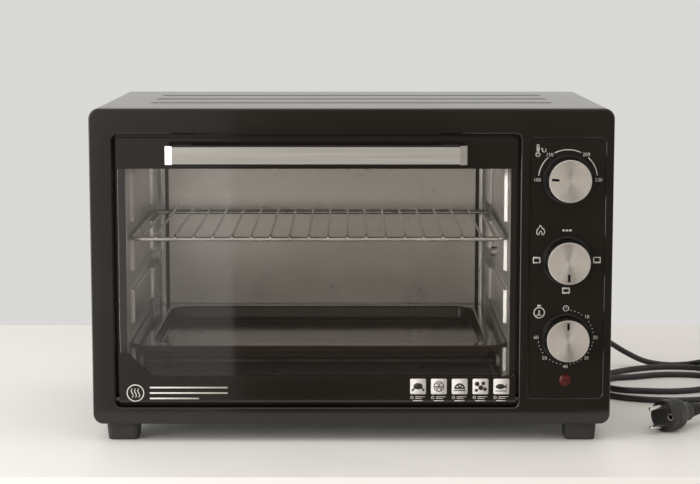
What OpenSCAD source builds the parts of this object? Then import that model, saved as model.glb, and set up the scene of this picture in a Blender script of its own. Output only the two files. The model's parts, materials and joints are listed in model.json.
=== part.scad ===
// Counter-top toaster oven: a sheet-steel casing round a stepped steel cavity, a drop-down
// glass door, three dials, a wire rack, a baking tray, a crumb tray and a mains cord.
// Millimetres. Z = 0 is the counter, -Y is the front, and X = 0 is the middle of the casing.
// Places along Y are written as distances behind the front face, which lies at front_y.

/* [Casing] */
// Width of the casing
body_w = 505; // [500:1:515]
// Height of the casing without its feet
body_h = 308.5; // [306:0.5:316]
// Depth of the casing from its front face to its back panel
body_d = 293; // [290:1:310]
// Height of the feet
foot_h = 18; // [16:1:24]
// Radius of the casing's long corners
corner_r = 10; // [10:1:16]
// Thickness of the sheet steel
sheet = 0.8; // [0.7:0.1:1]
// Depth of the wall spacers behind the back panel
spacer_d = 12; // [10:1:20]

/* [Door] */
// Width of the door
door_w = 386.4; // [380:0.2:388]
// Height of the door
door_h = 260.5; // [256:0.5:262]
// Thickness of the door's rails
rail_t = 10; // [9.5:0.5:10]
// Thickness of the glass
glass_t = 4; // [3:0.5:4]
// Height of the top rail
top_rail_h = 29; // [26:1:32]
// Height of the bottom rail
bottom_rail_h = 28; // [26:1:30]

/* [Handle] */
// Length of the handle
handle_w = 287; // [240:1:300]
// Height of the handle
handle_h = 18; // [14:1:20]
// How far the handle stands out in front of the casing
handle_proud = 30; // [26:1:31]

/* [Cavity] */
// Inside width of the cavity at its mouth
cavity_w = 374; // [373:0.5:374.5]
// Inside height of the cavity
cavity_h = 232; // [230:1:233]
// Width that each side wall steps in behind the mouth, and again near the back
wall_step = 3.6; // [3:0.1:4]

/* [Dials] */
// Diameter of a dial's black skirt
skirt_d = 49; // [47:0.5:50]
// Diameter of a dial's metal cap
cap_d = 41; // [39:0.5:42]
// How far a dial stands out in front of the casing
dial_proud = 22; // [20:1:24]

/* [Rack and trays] */
// Wires that run from front to back across the rack
rack_wires = 18; // [14:1:22]
// Depth of the rack
rack_d = 238; // [220:1:240]
// Depth of the baking tray
tray_d = 252; // [240:1:252]
// Depth of the baking tray's bowl below its rim
bowl_h = 14; // [10:1:20]

/* [Mains cord] */
// Diameter of the cord
cord_d = 6.5; // [6:0.1:6.5]
// Diameter of the plug's face
plug_d = 32; // [31:1:34]

/* [Hidden] */
$fn = 48;

// the least gap between pieces that move past each other
gap = 0.3;
// the front face, placed so that the box round the oven is centred on Y = 0
front_y = handle_proud - (handle_proud + body_d + spacer_d) / 2;
body_top = foot_h + body_h;
half_w = body_w / 2;

// door, its opening in the front frame, and the hinge line
door_x = -33.2;
door_z = foot_h + 19;
door_face_y = 0.5;
door_back_y = door_face_y + rail_t;
door_top = door_z + door_h;
hinge_y = door_face_y + rail_t / 2;
hinge_z = door_z + rail_t / 2;
opening_left = -230.1;
opening_right = 162.9;
opening_bottom = foot_h + 16.6;
opening_top = door_top + 4.3;
opening_r = 5;
recess_d = 15;
frame_d = 17;
frame_t = 1.2;
pin_r = 2;
pin_play = 0.05;

// cavity: u is a distance from the cavity's middle plane at cavity_x
cavity_x = -32.4;
cavity_z = foot_h + 34;
cavity_top = cavity_z + cavity_h;
cavity_back = 281;
mouth_u = cavity_w / 2;
step1_y = 50;
step2_y = 205;
step_run = 4.5;
groove_run = 8;
back_r = 10;
groove_end_y = 262;
grooves = [[foot_h + 66.3, foot_h + 91], [foot_h + 124.3, foot_h + 143.8],
           [foot_h + 175, foot_h + 192.8]];

// heating elements
element_r = 3.25;
element_ys = [100, 190];
element_low_z = cavity_z + 10.2;
element_high_z = cavity_top - 11;
insulator_r = 6;

// dials and what they turn
dial_x = 208.3;
temperature_z = foot_h + 240.5;
function_z = foot_h + 161.5;
timer_z = foot_h + 86;
panel_back_y = frame_t + 2;
panel_w = 72.5;
panel_z = foot_h + 26;
panel_top = foot_h + 280;
shaft_r = 3;
bushing_r = 5;
screw_pitch = 28;
lamp_z = foot_h + 43.6;

// rotisserie drive
spit_y = 150;
spit_z = cavity_z + cavity_h / 2;
coupling_r = 5;

// rack and tray
slide_half_w = mouth_u - 0.7;
rack_front_y = 30;
rack_z = grooves[2][0] + sheet + gap + 2.25;
rack_bar_r = 2.25;
rack_wire_r = 1.25;
rack_corner_r = 12;
tray_front_y = 24;
tray_z = grooves[0][0] + sheet + gap + 6;
tray_t = 0.8;
tray_corner_r = 25;

// mains cord
cord_r = cord_d / 2;
gland_x = 225;
gland_z = foot_h + 40;
gland_end_y = body_d + 32;
plug_face = [311, 43, 16.2];
plug_yaw = 40;
plug_len = 62;
// the cord's own middle line, as distances from X = 0, behind the front face and above Z = 0
cord_route = [
    [225, 325, 58], [227, 349, 57], [241, 369, 52.5], [268, 380, 44], [296, 382, 32],
    [320, 382, 17.5], [343, 379, 7], [367, 374, 3.6], [390, 369, 5], [408, 358, 9.8],
    [420, 341, 10.8], [423, 318, 10.6], [421, 297, 10.6], [414, 274, 7], [402, 252, 3.8],
    [380, 234, 3.3], [348, 225, 3.3], [313, 229, 3.3], [296, 234, 3.3], [283, 247, 3.3],
    [278, 266, 3.3], [283, 285, 3.3], [297, 298, 3.3], [318, 304, 3.3], [352, 317, 3.3],
    [386, 316, 3.3], [415, 301, 3.3], [432, 275, 3.3], [433, 243, 3.3], [419, 212, 3.3],
    [392, 190, 3.3], [358, 179, 3.3], [323, 181, 3.3], [290, 195, 3.3], [267, 221, 3.3],
    [258, 252, 3.3], [263, 284, 3.3], [280, 310, 3.3], [303, 332, 3.3], [331, 352, 3.3],
    [362, 363, 3.3], [393, 360, 3.3], [420, 344, 3.3], [439, 319, 3.3], [450, 288, 3.3],
    [452, 255, 3.3], [447, 219, 3.4], [433, 185, 3.5], [414, 153, 4.1], [394, 122, 7],
    [375, 97, 12.5]];

// ---- helpers ----

// moves its children to distances behind the front face
module behind_front() {
    translate([0, front_y, 0]) children();
}

// the same, with X = 0 at the cavity's middle plane
module in_cavity() {
    translate([cavity_x, front_y, 0]) children();
}

// stands an X-Z outline up, from y0 to y1
module upright(y0, y1) {
    translate([0, y1, 0]) rotate([90, 0, 0]) linear_extrude(y1 - y0) children();
}

// runs a Y-Z outline along X, from x0 to x1
module sideways(x0, x1) {
    translate([x0, 0, 0]) rotate([90, 0, 90]) linear_extrude(x1 - x0) children();
}

module rounded_rect(w, h, r) {
    square([w - 2 * r, h], center = true);
    square([w, h - 2 * r], center = true);
    for (x = [-1, 1], y = [-1, 1]) {
        translate([x * (w / 2 - r), y * (h / 2 - r)]) circle(r);
    }
}

// the casing's outline, drawn in by inset
module casing_outline(inset) {
    translate([0, (foot_h + body_top) / 2])
        rounded_rect(body_w - 2 * inset, body_h - 2 * inset, max(corner_r - inset, 0.5));
}

// the door opening's outline, grown by outset
module opening_outline(outset) {
    translate([(opening_left + opening_right) / 2, (opening_bottom + opening_top) / 2])
        rounded_rect(opening_right - opening_left + 2 * outset,
                     opening_top - opening_bottom + 2 * outset, opening_r + outset);
}

module box(x0, x1, y0, y1, z0, z1) {
    translate([x0, y0, z0]) cube([x1 - x0, y1 - y0, z1 - z0]);
}

module rod_x(x0, x1, y, z, r) {
    translate([x0, y, z]) rotate([0, 90, 0]) cylinder(h = x1 - x0, r = r);
}

module rod_y(x, y0, y1, z, r) {
    translate([x, y0, z]) rotate([-90, 0, 0]) cylinder(h = y1 - y0, r = r);
}

// a pan-head screw along Y, its head in front of y and its shank behind it
module screw_y(x, y, z, head_r, head_h, shank_r, shank_l) {
    rod_y(x, y - head_h, y, z, head_r);
    rod_y(x, y, y + shank_l, z, shank_r);
}

// ---- casing ----

top_beads = [92, 156, 220];
bead_half = 204;
bead_rise = 1.2;
bead_r = 5;
flange_w = 20;
rear_flange_w = 14;
vent_w = 3;
vent_pitch = 7;
vent_count = 12;
casing_screw_places = [
    [-half_w + 8, body_top - 60], [-half_w + 8, foot_h + 60], [half_w - 8, body_top - 60],
    [half_w - 8, foot_h + 60], [-80, body_top - 8], [80, body_top - 8]];

// wrap-round cover: two sides and the top, with flanges turned in below and behind
module outer_shell() {
    color("#2c2b29") behind_front() {
        difference() {
            union() {
                upright(frame_d, body_d) {
                    difference() {
                        casing_outline(0);
                        casing_outline(sheet);
                    }
                }
                upright(body_d - 2 * sheet, body_d - sheet) {
                    difference() {
                        casing_outline(sheet);
                        casing_outline(rear_flange_w);
                    }
                }
                intersection() {
                    union() {
                        for (y = top_beads) {
                            rod_x(-bead_half, bead_half, y, body_top + bead_rise - bead_r, bead_r);
                        }
                    }
                    box(-half_w, half_w, 0, body_d, body_top - sheet, body_top + bead_r);
                }
            }
            box(-half_w + flange_w, half_w - flange_w, 0, body_d + 1,
                foot_h - 1, foot_h + rear_flange_w + 1);
            for (z = [foot_h + 40, body_top - 80], i = [0 : vent_count - 1]) {
                translate([half_w - 2, 180 + i * vent_pitch, z]) cube([4, vent_w, 40]);
            }
            for (p = casing_screw_places) {
                rod_y(p[0], body_d - 3, body_d, p[1], 1.8);
            }
        }
    }
}

// front bezel: flat face with a rim, a recess for the door and a window for the controls
module front_frame() {
    slot_z = hinge_z + 18.5;
    color("#302f2d") behind_front() {
        difference() {
            union() {
                upright(0, frame_t) casing_outline(0);
                upright(0, frame_d) {
                    difference() {
                        casing_outline(0);
                        casing_outline(frame_t);
                    }
                }
                upright(0, recess_d) opening_outline(frame_t);
            }
            upright(-1, recess_d - frame_t) opening_outline(0);
            upright(recess_d - frame_t - 1, recess_d + 1)
                translate([cavity_x, (cavity_z + cavity_top) / 2])
                    square([cavity_w, cavity_h], center = true);
            upright(-1, frame_t + 1)
                translate([dial_x, (panel_z + panel_top) / 2])
                    rounded_rect(panel_w, panel_top - panel_z, 5);
            rod_x(opening_left - 3, opening_left + 3, hinge_y, hinge_z, 3.2);
            rod_x(opening_right - 3, opening_right + 3, hinge_y, hinge_z, 3.2);
            for (side = [-1, 1]) {
                translate([cavity_x + side * arm_u, recess_d - 3, slot_z])
                    cube([3.2, 8, 14], center = true);
            }
        }
    }
}

gland_hole_r = 9;

// pressed back cover with two fields of vents
module back_panel() {
    color("#2c2b29") behind_front() {
        difference() {
            upright(body_d - sheet, body_d) casing_outline(sheet + 0.2);
            for (z = [foot_h + 130, foot_h + 210], x = [-150 : 12 : 150]) {
                translate([x, body_d - 2, z]) cube([4, 4, 44]);
            }
            rod_y(gland_x, body_d - 2, body_d + 1, gland_z, gland_hole_r);
            for (p = casing_screw_places) {
                rod_y(p[0], body_d - 3, body_d + 1, p[1], 1.8);
            }
            for (x = [-170, 170]) {
                rod_y(x, body_d - 3, body_d + 1, body_top - 40, 2.1);
            }
        }
    }
}

foot_xs = [-223.5, 223.5];
foot_ys = [25, 262];
foot_top_w = 32;
foot_bottom_w = 29.5;

// flat bottom cover, with strips over the shell's flanges and the springs' anchor tabs
module base_plate() {
    edge = half_w - flange_w - 0.2;
    color("#8d8f90") behind_front() {
        difference() {
            union() {
                box(-edge, edge, frame_d + 0.2, body_d - 2.2, foot_h, foot_h + sheet);
                for (side = [-1, 1]) {
                    translate([side * edge - 4, frame_d + 2, foot_h + sheet])
                        cube([8, body_d - frame_d - 6, sheet]);
                    translate([cavity_x + side * arm_u - 3, 104.3, foot_h]) cube([6, 1.5, 27]);
                }
            }
            for (x = foot_xs, y = foot_ys) {
                translate([x, y, foot_h - 1]) cylinder(h = 4, r = 2.1);
            }
            for (x = [-120 : 12 : 96]) {
                translate([x, 110, foot_h - 1]) cube([4, 60, 4]);
            }
        }
    }
}

// two stubs that keep the back panel off a wall
module wall_spacers() {
    color("#232323") behind_front() {
        for (x = [-170, 170]) {
            difference() {
                rod_y(x, body_d, body_d + spacer_d, body_top - 40, 10);
                rod_y(x, body_d - 1, body_d + spacer_d + 1, body_top - 40, 2.1);
                rod_y(x, body_d + spacer_d - 6, body_d + spacer_d + 1, body_top - 40, 5);
            }
        }
    }
}

module foot_outline() {
    polygon([[-foot_bottom_w / 2, 0], [foot_bottom_w / 2, 0], [foot_top_w / 2, foot_h],
             [-foot_top_w / 2, foot_h]]);
}

// four tapered feet, hollow below for their screws
module feet() {
    color("#242322") behind_front() {
        for (x = foot_xs, y = foot_ys) {
            translate([x, y, 0]) {
                difference() {
                    intersection() {
                        upright(-foot_top_w, foot_top_w) foot_outline();
                        sideways(-foot_top_w, foot_top_w) foot_outline();
                    }
                    translate([0, 0, -1]) cylinder(h = foot_h - 5, r = 6);
                    cylinder(h = foot_h + 1, r = 2.1);
                }
            }
        }
    }
}

module foot_screws() {
    color("silver") behind_front() {
        for (x = foot_xs, y = foot_ys) {
            translate([x, y, foot_h - 8.6]) cylinder(h = 2.5, r = 4);
            translate([x, y, foot_h - 6.1]) cylinder(h = 13, r = 2);
            difference() {
                translate([x, y, foot_h + sheet]) cylinder(h = 3, r = 4, $fn = 6);
                translate([x, y, foot_h]) cylinder(h = 5, r = 2.05);
            }
        }
    }
}

// screws of the back panel and of the wall spacers
module casing_screws() {
    color("silver") behind_front() {
        for (p = casing_screw_places) {
            rod_y(p[0], body_d, body_d + 2.2, p[1], 3.4);
            rod_y(p[0], body_d - 7, body_d, p[1], 1.7);
        }
        for (x = [-170, 170]) {
            rod_y(x, body_d + spacer_d - 6, body_d + spacer_d - 3.5, body_top - 40, 3.8);
            rod_y(x, body_d - 6, body_d + spacer_d - 6, body_top - 40, 2);
        }
    }
}

// ---- cavity ----

// one face of the right-hand wall as seen from above, shifted outwards by off
function stepped_line(off) = concat(
    [[mouth_u + off, recess_d], [mouth_u + off, step1_y],
     [mouth_u - wall_step + off, step1_y + step_run], [mouth_u - wall_step + off, step2_y],
     [mouth_u - 2 * wall_step + off, step2_y + step_run]],
    corner_line(off));

// the same face inside a rack guide, which stays at the mouth's width
function guide_line(off) = concat(
    [[mouth_u + off, recess_d], [mouth_u + off, groove_end_y],
     [mouth_u - 2 * wall_step + off, groove_end_y + groove_run]],
    corner_line(off));

// quarter round into the back wall
function corner_line(off) =
    [for (a = [0 : 15 : 90]) [mouth_u - 2 * wall_step - back_r + (back_r + off) * cos(a),
                              cavity_back - back_r + (back_r + off) * sin(a)]];

function turned(line) = [for (i = [len(line) - 1 : -1 : 0]) line[i]];

module level(z0, z1) {
    translate([0, 0, z0]) linear_extrude(z1 - z0) children();
}

// right-hand side wall: stepped in between its three rack guides
module side_wall() {
    edges = concat([cavity_z], [for (g = grooves) each g], [cavity_top]);
    difference() {
        union() {
            for (i = [0 : len(edges) - 2]) {
                level(edges[i], edges[i + 1]) {
                    polygon(i % 2 == 0 ? concat(stepped_line(0), turned(stepped_line(sheet)))
                                       : concat(guide_line(0), turned(guide_line(sheet))));
                }
            }
            for (g = grooves) {
                for (z = [g[0], g[1] - sheet]) {
                    level(z, z + sheet)
                        polygon(concat(stepped_line(0), turned(guide_line(sheet))));
                }
            }
        }
        for (y = element_ys, z = [element_low_z, element_high_z]) {
            rod_x(mouth_u - 12, mouth_u + 2, y, z, insulator_r);
        }
    }
}

module cavity_left_wall() {
    color("#b9b8b4") in_cavity() mirror([1, 0, 0]) side_wall();
}

module cavity_right_wall() {
    color("#b9b8b4") in_cavity() {
        difference() {
            side_wall();
            rod_x(mouth_u - 12, mouth_u + 2, spit_y, spit_z, coupling_r + 0.6);
        }
    }
}

module cavity_back_wall() {
    back_half = mouth_u - 2 * wall_step - back_r;
    color("#b9b8b4") in_cavity()
        box(-back_half, back_half, cavity_back, cavity_back + sheet, cavity_z, cavity_top);
}

module cavity_ceiling() {
    color("#b9b8b4") in_cavity() {
        box(-mouth_u - sheet, mouth_u + sheet, recess_d, cavity_back + sheet,
            cavity_top, cavity_top + sheet);
    }
}

module cavity_floor() {
    color("#b9b8b4") in_cavity() {
        box(-mouth_u - sheet, mouth_u + sheet, recess_d, cavity_back + sheet,
            cavity_z - sheet, cavity_z);
    }
}

shield_x = 180;

// screen between the hot cavity and the controls
module heat_shield() {
    color("#a7a8a8") behind_front() {
        difference() {
            union() {
                box(shield_x, shield_x + sheet, frame_d + 2, body_d - 4,
                    foot_h + 2.5, body_top - 3);
                box(shield_x, shield_x + 10, frame_d + 2, body_d - 4,
                    foot_h + 2.5, foot_h + 2.5 + sheet);
            }
            rod_x(shield_x - 2, shield_x + 3, 240, foot_h + 50, 8);
            rod_x(shield_x - 2, shield_x + 3, 240, body_top - 60, 8);
        }
    }
}

// ---- controls ----

dial_places = [temperature_z, function_z, timer_z];

// black panel behind the bezel's window
module control_panel() {
    color("#22211f") behind_front() {
        difference() {
            upright(frame_t, panel_back_y)
                translate([dial_x, (panel_z + panel_top) / 2])
                    rounded_rect(panel_w + 7, panel_top - panel_z + 7, 7);
            for (z = dial_places) {
                rod_y(dial_x, 0, 5, z, bushing_r + 0.1);
                for (side = [-1, 1]) {
                    rod_y(dial_x + side * screw_pitch / 2, 0, 5, z, 1.8);
                }
            }
            rod_y(dial_x, 0, 5, lamp_z, 6);
        }
    }
}

// mounting plate and bushing that the three controls share
module control_mount(z) {
    upright(panel_back_y, panel_back_y + 1.5)
        translate([dial_x, z]) square([40, 22], center = true);
    rod_y(dial_x, frame_t - 0.1, panel_back_y + 1.5, z, bushing_r);
}

// the bores for a control's shaft and its two screws
module control_bores(z) {
    rod_y(dial_x, -1, 20, z, shaft_r + pin_play);
    for (side = [-1, 1]) {
        rod_y(dial_x + side * screw_pitch / 2, 0, 11, z, 1.8);
    }
}

module thermostat() {
    color("#c9c3b4") behind_front() {
        difference() {
            union() {
                control_mount(temperature_z);
                box(dial_x - 19, dial_x + 19, panel_back_y + 1.5, 26,
                    temperature_z - 14, temperature_z + 14);
                box(dial_x - 12, dial_x + 12, 26, 34, temperature_z - 3, temperature_z + 3);
            }
            control_bores(temperature_z);
        }
    }
}

module function_switch() {
    color("#55524c") behind_front() {
        difference() {
            union() {
                control_mount(function_z);
                rod_y(dial_x, panel_back_y + 1.5, 32, function_z, 19);
                for (a = [45 : 90 : 315]) {
                    rod_y(dial_x + 13 * cos(a), 32, 38, function_z + 13 * sin(a), 1.5);
                }
            }
            control_bores(function_z);
        }
    }
}

module timer_mechanism() {
    color("#b7b19c") behind_front() {
        difference() {
            union() {
                control_mount(timer_z);
                box(dial_x - 22, dial_x + 22, panel_back_y + 1.5, 36, timer_z - 22, timer_z + 22);
                rod_y(dial_x, 36, 41, timer_z, 2.5);
            }
            control_bores(timer_z);
        }
    }
}

// the bell that the timer strikes
module timer_bell() {
    color("#c4c6c8") behind_front() {
        translate([dial_x, 49.2, timer_z]) rotate([90, 0, 0]) {
            rotate_extrude() {
                difference() {
                    square([20, 11]);
                    translate([0, -1]) square([19, 8]);
                    translate([0, 8.2]) square([2.6, 4]);
                }
            }
        }
    }
}

module control_screws() {
    color("silver") behind_front() {
        for (z = dial_places, side = [-1, 1]) {
            screw_y(dial_x + side * screw_pitch / 2, frame_t, z, 3.2, 1.6, 1.6, 9);
        }
    }
}

// red lens with a domed front
module indicator_lens() {
    color("#8f1410") behind_front() {
        difference() {
            union() {
                rod_y(dial_x, 0.4, 9, lamp_z, 5.9);
                rod_y(dial_x, panel_back_y, panel_back_y + 1.5, lamp_z, 8);
                intersection() {
                    translate([dial_x, 7.4, lamp_z]) sphere(9);
                    rod_y(dial_x, -3, 0.4, lamp_z, 5.9);
                }
            }
            rod_y(dial_x, 2.5, 10, lamp_z, 4.5);
        }
    }
}

module indicator_lamp() {
    color("#d8924a") behind_front() {
        rod_y(dial_x, 3.5, 18, lamp_z, 3.2);
        rod_y(dial_x, 18, 26, lamp_z, 4.2);
    }
}

// a black dial: thin skirt, barrel, and a hub on the shaft
module dial(z) {
    barrel_r = cap_d / 2 + 0.7;
    front = -(dial_proud - 1.2);
    hub_front = -12;
    color("#1b1b1b") behind_front() {
        difference() {
            union() {
                rod_y(dial_x, -2.6, frame_t - 0.5, z, skirt_d / 2);
                rod_y(dial_x, front, -2.6, z, barrel_r);
            }
            difference() {
                rod_y(dial_x, hub_front - 1, frame_t, z, barrel_r - 2);
                rod_y(dial_x, hub_front - 1, frame_t, z, shaft_r + 3.5);
            }
            rod_y(dial_x, hub_front, frame_t, z, shaft_r + 0.02);
        }
    }
}

// the metal face of a dial, with a slot that points along angle a
module dial_cap(z, a) {
    color("#c8c4be") behind_front() {
        difference() {
            rod_y(dial_x, -dial_proud, -(dial_proud - 1.2), z, cap_d / 2);
            translate([dial_x, -dial_proud, z]) rotate([0, -a, 0])
                translate([cap_d / 2 - 6.3, 0, 0]) cube([7, 0.8, 2.2], center = true);
        }
    }
}

module dial_shaft(z) {
    color("silver") behind_front() rod_y(dial_x, -12, 18, z, shaft_r);
}

module temperature_dial() {
    dial(temperature_z);
}

module temperature_cap() {
    dial_cap(temperature_z, 180);
}

module temperature_shaft() {
    dial_shaft(temperature_z);
}

module function_dial() {
    dial(function_z);
}

module function_cap() {
    dial_cap(function_z, 270);
}

module function_shaft() {
    dial_shaft(function_z);
}

module timer_dial() {
    dial(timer_z);
}

module timer_cap() {
    dial_cap(timer_z, 90);
}

module timer_shaft() {
    dial_shaft(timer_z);
}

// ---- heating and electrics ----

element_half = mouth_u + 16;

// two straight heating rods with terminal pins
module element_pair(z) {
    color("#77736c") in_cavity() {
        for (y = element_ys) {
            rod_x(-element_half, element_half, y, z, element_r);
            for (side = [-1, 1]) {
                rod_x(side * (element_half + 3) - 3, side * (element_half + 3) + 3, y, z, 1.6);
            }
        }
    }
}

module upper_heating_elements() {
    element_pair(element_high_z);
}

module lower_heating_elements() {
    element_pair(element_low_z);
}

// ceramic bushes that carry the rods in the side walls
module element_insulators() {
    wall_u = mouth_u - wall_step;
    color("#e4dfd2") in_cavity() {
        for (side = [0, 1], y = element_ys, z = [element_low_z, element_high_z]) {
            mirror([side, 0, 0]) {
                difference() {
                    union() {
                        rod_x(wall_u - 3, wall_u + 12, y, z, insulator_r - 0.1);
                        rod_x(wall_u + sheet, wall_u + sheet + 3, y, z, insulator_r + 2.5);
                    }
                    rod_x(wall_u - 4, wall_u + 13, y, z, element_r + 0.1);
                }
            }
        }
    }
}

motor_x = cavity_x + mouth_u + sheet;
spit_face_x = cavity_x + mouth_u - wall_step - 5.7;

// geared motor, its plate resting on the outside of two rack guides
module rotisserie_motor() {
    color("#9b9d9e") behind_front() {
        difference() {
            union() {
                box(motor_x, motor_x + 1.5, spit_y - 34, spit_y + 34,
                    grooves[1][1] - 8, grooves[2][0] + 8);
                rod_x(motor_x + 5, motor_x + 21, spit_y, spit_z, 23);
                for (side = [-1, 1]) {
                    rod_x(motor_x + 1.5, motor_x + 5, spit_y + side * 17, spit_z, 4);
                }
            }
            rod_x(motor_x - 1, motor_x + 3, spit_y, spit_z, coupling_r + 0.6);
            rod_x(motor_x + 2, motor_x + 16, spit_y, spit_z, 2.5 + pin_play);
        }
    }
}

// turning socket for a spit, a square hole in its face
module rotisserie_coupling() {
    color("#c9cbcc") behind_front() {
        difference() {
            union() {
                rod_x(spit_face_x, motor_x + 4, spit_y, spit_z, coupling_r);
                rod_x(motor_x + 4, motor_x + 15, spit_y, spit_z, 2.5);
            }
            box(spit_face_x - 1, spit_face_x + 5, spit_y - 3, spit_y + 3,
                spit_z - 3, spit_z + 3);
        }
    }
}

block_x = 222;
block_y = 246;
block_top = foot_h + 20;

module terminal_block() {
    color("#ece7da") behind_front() {
        difference() {
            box(block_x - 18, block_x + 18, block_y - 9, block_y + 9,
                foot_h + 2 * sheet + 0.2, block_top);
            for (x = [-12, 0, 12]) {
                translate([block_x + x, block_y, block_top - 6]) cylinder(h = 8, r = 2.6);
            }
        }
    }
}

fuse_x = 110;
fuse_y = 150;

// over-temperature fuse clipped on top of the cavity
module thermal_fuse() {
    color("#b9bcc0") behind_front() {
        box(fuse_x - 14, fuse_x + 14, fuse_y - 6, fuse_y + 6,
            cavity_top + sheet, cavity_top + sheet + 1);
        rod_x(fuse_x - 11, fuse_x + 11, fuse_y, cavity_top + sheet + 4.4, 3.4);
    }
}

// ---- mains cord ----

// rubber bush in the back panel and the tapered relief behind it
module cord_gland() {
    color("#1c1c1c") behind_front() {
        rod_y(gland_x, body_d - 5, body_d, gland_z, gland_hole_r - 0.1);
        rod_y(gland_x, body_d, body_d + 3, gland_z, 12);
        translate([gland_x, body_d + 3, gland_z]) rotate([-90, 0, 0])
            cylinder(h = gland_end_y - body_d - 3, r1 = 7.5, r2 = 4.4);
    }
}

// smooth curve through points a, b, c and d, at t along the stretch from b to c
function blend(a, b, c, d, t) = 0.5 * (2 * b + (c - a) * t
    + (2 * a - 5 * b + 4 * c - d) * t * t + (3 * b - a - 3 * c + d) * t * t * t);

function smooth(p) = let (n = len(p))
    [for (i = [0 : n - 2], t = [0, 0.5])
        blend(p[max(i - 1, 0)], p[i], p[i + 1], p[min(i + 2, n - 1)], t), p[n - 1]];

function heading(p, i) =
    let (v = p[min(i + 1, len(p) - 1)] - p[max(i - 1, 0)]) v / norm(v);

// ring of n points round p[i], square to the curve and level with the ground
function ring(p, i, r, n) = let (
        h = heading(p, i),
        s = cross(h, [0, 0, 1]),
        side = s / norm(s),
        up = cross(side, h))
    [for (k = [0 : n - 1]) p[i] + r * (cos(360 * k / n) * side + sin(360 * k / n) * up)];

// tube of n sides along the curve p
module tube(p, r, n) {
    m = len(p);
    points = [for (i = [0 : m - 1]) each ring(p, i, r, n)];
    sides = [for (i = [0 : m - 2], k = [0 : n - 1])
        [i * n + k, i * n + (k + 1) % n, (i + 1) * n + (k + 1) % n, (i + 1) * n + k]];
    ends = [[for (k = [n - 1 : -1 : 0]) k], [for (k = [0 : n - 1]) (m - 1) * n + k]];
    polyhedron(points, concat(sides, ends), convexity = 10);
}

// where each wire meets the back of the thermostat, the switch and the timer
wire_ends = [[dial_x, 36, temperature_z], [dial_x + 9.2, 40, function_z + 9.2],
             [dial_x + 24, 30, timer_z]];

// insulated wires from the terminal block up to the controls
module wiring_harness() {
    lane_y = 200;
    wire_r = 1.5;
    color("#8c2f28") behind_front() {
        for (i = [0 : 2]) {
            x = block_x - 12 + 12 * i;
            low_z = block_top + 14 + 6 * i;
            lane_x = 194 + 20 * i;
            tube(smooth([[x, block_y, block_top + 1], [x, block_y - 6, low_z],
                         [lane_x, lane_y + 10, low_z + 8], [lane_x, lane_y, wire_ends[i][2] - 20],
                         [lane_x, lane_y - 30, wire_ends[i][2] + 4 * i],
                         [wire_ends[i][0], wire_ends[i][1] + 50, wire_ends[i][2] + 4 * i],
                         wire_ends[i]]), wire_r, 8);
        }
    }
}

plug_relief_end = plug_face + plug_len * [cos(plug_yaw), sin(plug_yaw), 0];

module power_cord() {
    color("#171717") behind_front()
        tube(smooth(concat(cord_route, [plug_relief_end])), cord_r, 10);
}

// puts +X along the plug, from its face towards the cord
module on_plug() {
    behind_front() translate(plug_face) rotate([0, 0, plug_yaw]) children();
}

pin_roll = 86;
pin_spread = 19;
plug_pin_r = 2.4;

module plug_body() {
    color("#1a1a1a") on_plug() {
        difference() {
            union() {
                rod_x(0, 19, 0, 0, plug_d / 2);
                translate([19, 0, 0]) rotate([0, 90, 0])
                    cylinder(h = 10, r1 = plug_d / 2, r2 = 10);
                rod_x(29, 38, 0, 0, 9.5);
                translate([38, 0, 0]) rotate([0, 90, 0])
                    cylinder(h = plug_len - 38, r1 = 7.5, r2 = 4.4);
            }
            rotate([pin_roll, 0, 0]) {
                for (side = [-1, 1]) {
                    rod_x(-1, 8, side * pin_spread / 2, 0, plug_pin_r + 0.02);
                }
                rod_x(-1, 10, 0, 10, 2.5);
            }
        }
    }
}

module plug_pins() {
    color("silver") on_plug() rotate([pin_roll, 0, 0]) {
        for (side = [-1, 1]) {
            rod_x(-19, 8, side * pin_spread / 2, 0, plug_pin_r);
        }
    }
}

// ---- door hinge ----

arm_u = 191;
arm_t = 1.6;
arm_outer_r = 24;
arm_inner_r = 16;

// plates behind the front frame that carry the hinge pins
module hinge_brackets() {
    color("#9fa1a2") behind_front() {
        for (x = [opening_left - frame_t - 3, opening_right + frame_t]) {
            difference() {
                box(x, x + 3, 2, 26, hinge_z - 5, hinge_z + 9);
                rod_x(x - 1, x + 4, hinge_y, hinge_z, pin_r + pin_play);
            }
        }
    }
}

// steel pins that stick out of the bottom rail's ends
module hinge_pins() {
    color("silver") behind_front() {
        rod_x(opening_left - frame_t - 4.3, door_x - door_w / 2 + 12, hinge_y, hinge_z, pin_r);
        rod_x(door_x + door_w / 2 - 12, opening_right + frame_t + 4.3, hinge_y, hinge_z, pin_r);
    }
}

spring_r = 3;
coil_wire_r = 0.9;
spring_front_y = 31;
spring_back_y = 104;
spring_coils = 30;

// balance springs, drawn close-wound from their front loop to the base plate's tabs
module door_springs() {
    coil_pitch = (spring_back_y - spring_front_y - 12) / spring_coils;
    color("#8a8c8e") in_cavity() {
        for (side = [-1, 1]) {
            translate([side * arm_u, spring_front_y + 6, hinge_z - 3]) rotate([-90, 0, 0]) {
                rotate_extrude($fn = 24) {
                    for (i = [0 : spring_coils - 1]) {
                        translate([spring_r - coil_wire_r, (i + 0.5) * coil_pitch])
                            circle(coil_wire_r, $fn = 12);
                    }
                    translate([spring_r - coil_wire_r - 0.3, 0])
                        square([0.5, spring_coils * coil_pitch]);
                }
            }
            rod_y(side * arm_u, spring_front_y, spring_front_y + 6.2, hinge_z - 3, 2.2);
            rod_y(side * arm_u, spring_back_y - 6.2, spring_back_y, hinge_z - 3, 2.2);
        }
    }
}

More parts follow.
